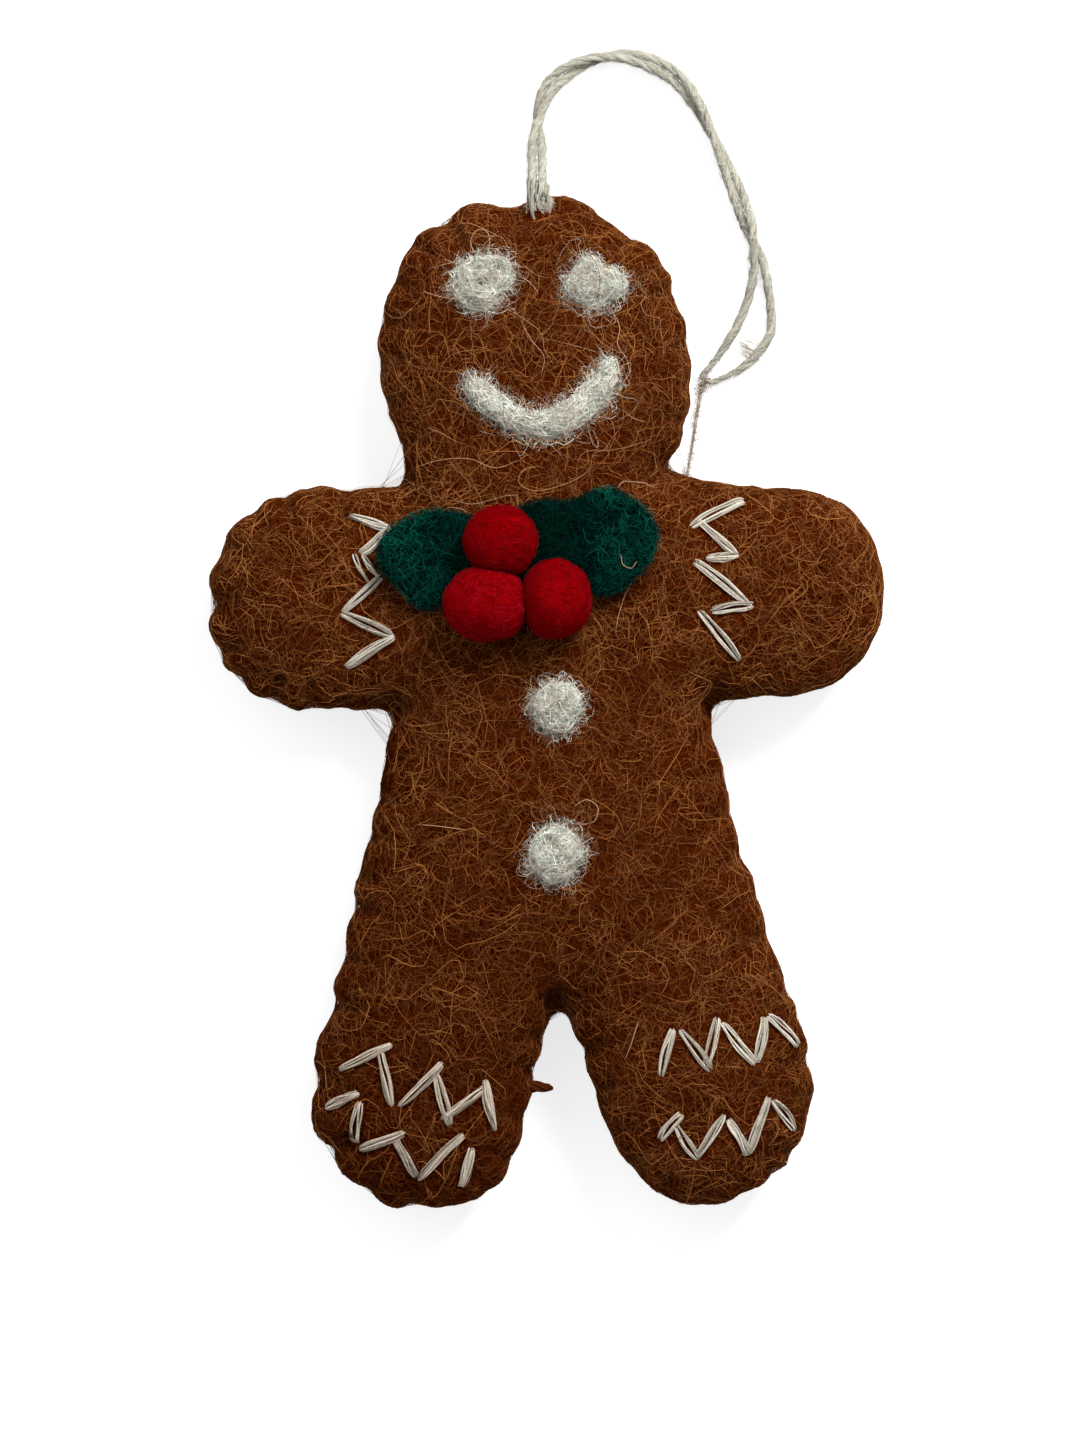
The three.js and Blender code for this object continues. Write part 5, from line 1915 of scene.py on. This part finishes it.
def tufts(middle_line, count, reach, height, seed):
    """Short loose hairs that stand off a line on the table, in mm."""
    rng = np.random.default_rng(seed)
    hairs = []
    for _ in range(count):
        root = middle_line[rng.integers(len(middle_line))]
        angle, far = rng.uniform(0, 2 * math.pi), reach * rng.uniform(0.4, 1.0)
        away = np.array([math.cos(angle), math.sin(angle), 0]) * far
        bend = np.array([-away[1], away[0], 0]) * rng.uniform(-0.5, 0.5)
        lift = np.array([0, 0, rng.uniform(0, height)])
        hairs.append(smooth_line([root, root + away * 0.5 + bend + lift, root + away], steps=4))
    return hairs


tail = smooth_line([(*at_pixel(x, y), up) for x, y, up in (
    (706, 376, 0.7), (702, 390, 0.4), (699, 404, 0.35), (696, 424, 0.3), (693, 444, 0.3),
    (690, 462, 0.35), (688, 476, 0.5),
)])
tail_lines = strand_bundle(tail[::6], 4, 0.25, 20.0)
tail_full = [
    np.interp(np.linspace(0, 1, len(line)), (0, 0.2, 1), (2.4, 1.0, 0.9))
    for line in tail_lines
]
frayed = spun("twine_frayed_end", tail_lines, frayed_fibre, 0.07, 6, 0.5, 0.3, tail_full)
dressed(frayed, "cream_twine")
fray_lines = tufts(tail, 210, 0.9, 0.5, 5) + tufts(tail[:14], 70, 1.5, 0.8, 6)
rng = np.random.default_rng(7)
for _ in range(36):
    start = np.array([*at_pixel(*(rng.uniform(738, 746), rng.uniform(334, 350))), 0.7])
    reach = np.array([rng.uniform(1.4, 2.9), rng.uniform(-1.7, -0.7), rng.uniform(-0.2, 0.1)])
    bend = np.array([rng.uniform(-0.2, 0.2), rng.uniform(-0.2, 0.2), 0.2])
    fray_lines.append(smooth_line([start, start + reach / 2 + bend, start + reach], steps=4))
fray = spun("twine_frayed_fibres", fray_lines, frayed_fibre, 0.034, 3, 0.5, 0.7)
dressed(fray, "cream_twine")

# %% [markdown]
# ## Loose fibres
#
# Felt is seen by its fibres: thousands cross its face, paler than the mat beneath, and a few
# long ones stand off it. The same tree lays them on every wool of the ornament. A ground made
# of the felt and its wool patches lets the white fibres reach out over the brown, and a whole
# front with the holly on it carries the long hairs that are drawn one by one.


# %% The ground for fibres
def joined_up(name, parts):
    """One mesh of several pieces, which helps to lay fibres and is removed at the end."""
    made = mesh_object(name, [], [])
    joined = bmesh.new()
    for part in parts:
        joined.from_mesh(part.data)
    joined.to_mesh(made.data)
    joined.free()
    return made


ground = joined_up("ground", (skin, *patches))
whole_front = joined_up("whole front", (skin, *patches, *leaves, *berries))
whole_rays = BVHTree.FromObject(whole_front, bpy.context.evaluated_depsgraph_get())
print("ground:", triangle_count(ground), "triangles")


def over_all(corners, lift):
    """A hair drawn through corners in mm, lying on whatever is under it."""
    plan = smooth_line(corners, steps=6)
    line = []
    for i, (x, y) in enumerate(plan):
        hit, _, _, _ = whole_rays.ray_cast(Vector((x, y, RAY_START)) * MM, Vector((0, 0, -1)))
        bow = 0.4 + 0.6 * math.sin(math.pi * i / (len(plan) - 1))
        if hit:
            line.append((x, y, hit[2] / MM + lift * bow))
    line = np.array(line)
    if len(line):
        line[:, 2] += 0.7 * (taut(line[:, 2]) - line[:, 2])
    return line


# %% Brown fibres, one piece for each part of the body
# Threads press the fibres under them, so their middle lines are kept for the fibre tree.
LINE_POINTS = 8
pressing = []
for stitch in (stitch for stitches in stitch_rows.values() for stitch in stitches):
    start, end = at_pixel(*stitch[:2]), at_pixel(*stitch[2:])
    line = np.linspace(start * 0.88 + end * 0.12, start * 0.12 + end * 0.88, LINE_POINTS)
    pressing.append(on_front(line, 0.1))
for _, goes_in in anchor_plan:
    pressing.append(on_front(np.linspace((goes_in[0], 61.9), goes_in, LINE_POINTS), 0.3))
pressing_points = np.vstack(pressing)
pressing_edges = [(i, i + 1) for i in range(len(pressing_points)) if (i + 1) % LINE_POINTS]
pressing_lines = mesh_object("pressing lines", pressing_points, [], edges=pressing_edges)


def between(low_corner, high_corner):
    """Only where a part of the body is, seen from above."""
    return {"low": (*low_corner, -1), "high": (*high_corner, 60), "pressed_by": pressing_lines}


fibre_shade_regions = {  # its two corners in mm, how pale its fibres are: painted shade, darker towards the feet and darkest at the left foot
    "crown": ((-100, 47), (100, 100), 0.86),
    "face": ((-100, 34), (100, 47), 1.0),
    "chin": ((-100, 26.5), (100, 34), 0.95),
    "left_arm": ((-100, -2), (-19, 26.5), 0.97),
    "chest": ((-19, 6), (21, 26.5), 1.05),
    "right_arm": ((21, -2), (100, 26.5), 0.97),
    "waist": ((-19, -12), (21, 6), 0.86),
    "belly": ((-100, -28), (100, -12), 0.74),
    "left_thigh": ((-100, -45), (1.2, -28), 0.6),
    "right_thigh": ((1.2, -45), (100, -28), 0.88),
    "left_foot": ((-100, -100), (1.2, -45), 0.42),
    "right_foot": ((1.2, -100), (100, -45), 0.8),
}
# Painted shade: the fibres' tone is darker towards the feet, most of all on the left leg.
for seed, (region, (*corners, gain)) in enumerate(fibre_shade_regions.items()):
    laid = fibres(
        "brown_fibres_" + region, skin, skin, brown_fibre, 20 + seed, per_mm2=2.4, length=4.4,
        curl=1.1, curl_size=2.0, lift=0.65, radius=0.037, points=8, under=0.12, gain=gain,
        power=2.8, **between(*corners),
    )
    dressed(laid, "brown_felt")

long_fibre_parts = {  # none start beside the gap between the legs, which they would cross
    "upper": ((-100, -30), (100, 100)), "left": ((-100, -100), (-8, -30)),
    "right": ((11, -100), (100, -30)),
}
for seed, (part, corners) in enumerate(long_fibre_parts.items()):
    laid = fibres(
        "brown_long_fibres_" + part, skin, skin, brown_fibre, 41 + seed, per_mm2=0.09, length=10,
        curl=3.2, curl_size=3.0, lift=1.1, radius=0.036, points=16, under=0.0, wall=0.02,
        gain=1.2, power=1.5, **between(*corners),
    )
    dressed(laid, "brown_felt")
pale_strays = fibres(
    "pale_stray_fibres", skin, ground, pale_fibre, 45, per_mm2=0.014, length=12, curl=2.4,
    curl_size=6.5, lift=1.2, radius=0.032, points=32, under=0.0, low=(-24, 16, -1),
    high=(24, 100, 100),
)
dressed(pale_strays, "brown_felt")

# %% Stray hairs, drawn where the picture has them
dark_hairs = [
    [(474, 262), (484, 267), (491, 275), (499, 272), (499, 264), (505, 262)],
    [(584, 254), (592, 262), (598, 274), (599, 290), (597, 302), (602, 311)],
    [(511, 296), (506, 300), (502, 297)],
    [(632, 287), (643, 274), (658, 267), (670, 272), (676, 286)],
]
pale_hairs = [
    [(420, 824), (436, 825), (452, 827), (466, 829)],
    [(638, 1018), (634, 1030), (630, 1043), (625, 1056)],
    [(620, 556), (622, 566), (630, 570), (636, 563)],
    [(592, 468), (580, 479), (562, 487), (545, 492), (530, 492), (519, 484), (522, 474),
     (540, 467)],
    [(412, 470), (440, 462), (470, 461), (496, 470), (520, 462)],
    [(478, 262), (471, 246), (477, 234), (487, 235), (490, 250), (484, 262)],
    [(610, 310), (619, 330), (617, 348), (626, 362), (630, 380)],
    [(622, 412), (632, 420), (644, 424)],
    [(573, 806), (586, 799), (597, 806), (594, 820), (580, 824)],
    [(500, 240), (484, 232), (468, 226), (452, 228)],
    [(520, 322), (532, 344), (544, 360), (541, 380)],
]
for name, drawn, paint, lift, thickest in (
    ("dark_stray_hairs", dark_hairs, dark_fibre, 2.2, 0),
    ("pale_stray_hairs", pale_hairs, pale_fibre, 0.9, 2),  # the first two are coarse
):
    lines = [over_all(at_pixels(pixels), lift) for pixels in drawn]
    thick = [np.full(len(line), 1.7 if k < thickest else 1.0) for k, line in enumerate(lines)]
    dressed(spun(name, lines, paint, 0.03, 4, 0.5, 0.6, fullness=thick), "brown_felt")
rng = np.random.default_rng(9)
lines = []
for _ in range(130):
    root = (rng.uniform(-2.4, 0.6), rng.uniform(61.2, 62.8))
    bend, tip = rng.uniform(-0.7, 0.7, 2), rng.uniform(-0.9, 0.9, 2)
    line = over_all([root, root + bend, root + tip], 0.9)
    if len(line) > 3:
        lines.append(line)
anchor_fuzz = spun("loop_anchor_fibres", lines, frayed_fibre, 0.026, 3, 0.5, 0.6)
dressed(anchor_fuzz, "cream_twine")

# %% White, green, red and cream fibres
for seed, (patch, gain) in enumerate(zip(patches, (1.0, 0.85, 1.1, 1.25, 1.25))):
    laid = fibres(
        patch.name + "_fibres", patch, ground, white_fibre, 60 + seed, per_mm2=10, length=2.8,
        curl=1.1, curl_size=1.2, lift=0.45, radius=0.037, points=12, under=0.0, wall=0.35,
        power=1.1, disorder=0.25, gain=gain,
    )
    dressed(laid, "white_wool")
    loops = fibres(
        patch.name + "_loops", patch, ground, mixed_fibre, 65 + seed, per_mm2=0.9, length=5.0,
        curl=2.0, curl_size=1.5, lift=0.8, radius=0.026, points=18, under=0.0, wall=0.9,
        power=1.0, disorder=0.6,
    )
    dressed(loops, "white_wool")
    patch.data.attributes.remove(patch.data.attributes["comb"])
leaf_light_and_shade_parts = [  # the leaf, its part, from and to which x, how pale the fibres are there: painted shade at the roots by the berries, painted light at the tips
    (0, "_tip_fibres", -100, -16, 1.25), (0, "_root_fibres", -16, 100, 0.8),
    (1, "_root_fibres", -100, 6, 0.35), (1, "_tip_fibres", 6, 100, 1.15),
]
for number, part, low_x, high_x, gain in leaf_light_and_shade_parts:
    leaf = leaves[number]
    laid = fibres(
        leaf.name + part, leaf, leaf, green_fibre, 70 + number, per_mm2=7, length=3.2,
        curl=0.9, curl_size=1.4, lift=0.9, radius=0.038, points=9, under=0.1, wall=0.9,
        power=2.4, gain=gain, low=(low_x, -100, -1), high=(high_x, 100, 100),
    )
    dressed(laid, "green_felt")
# The right berry's fibres are darker: painted shade where it tucks under the others.
for seed, (berry, gain) in enumerate(zip(berries, (0.95, 0.5, 0.4))):
    laid = fibres(
        berry.name + "_fibres", berry, berry, red_fibre, 80 + seed, per_mm2=3.4, length=2.4,
        curl=0.7, curl_size=1.3, lift=0.3, radius=0.026, points=7, under=0.0, wall=0.8, gain=gain,
    )
    dressed(laid, "red_wool")
twine_fuzz = fibres(
    "hanging_twine_fibres", twine, twine, cream_fibre, 90, per_mm2=1.7, length=2.4, curl=0.3,
    curl_size=1.2, lift=0.4, radius=0.03, points=6, under=0.8, wall=0.8,
)
dressed(twine_fuzz, "cream_twine")

# %% [markdown]
# ## The end
#
# The loop leaves the body at the seam and goes back into it, so both its ends are held. The
# helpers that only the making needed are removed.

# %% Finish
twine_line[0] * MM
(twine_line * MM).tolist()
for helper in (skin, ground, whole_front, pressing_lines):
    bpy.data.objects.remove(helper)
total = sum(triangle_count(piece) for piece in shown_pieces() if piece.type == "MESH")
print("triangles in all:", total)
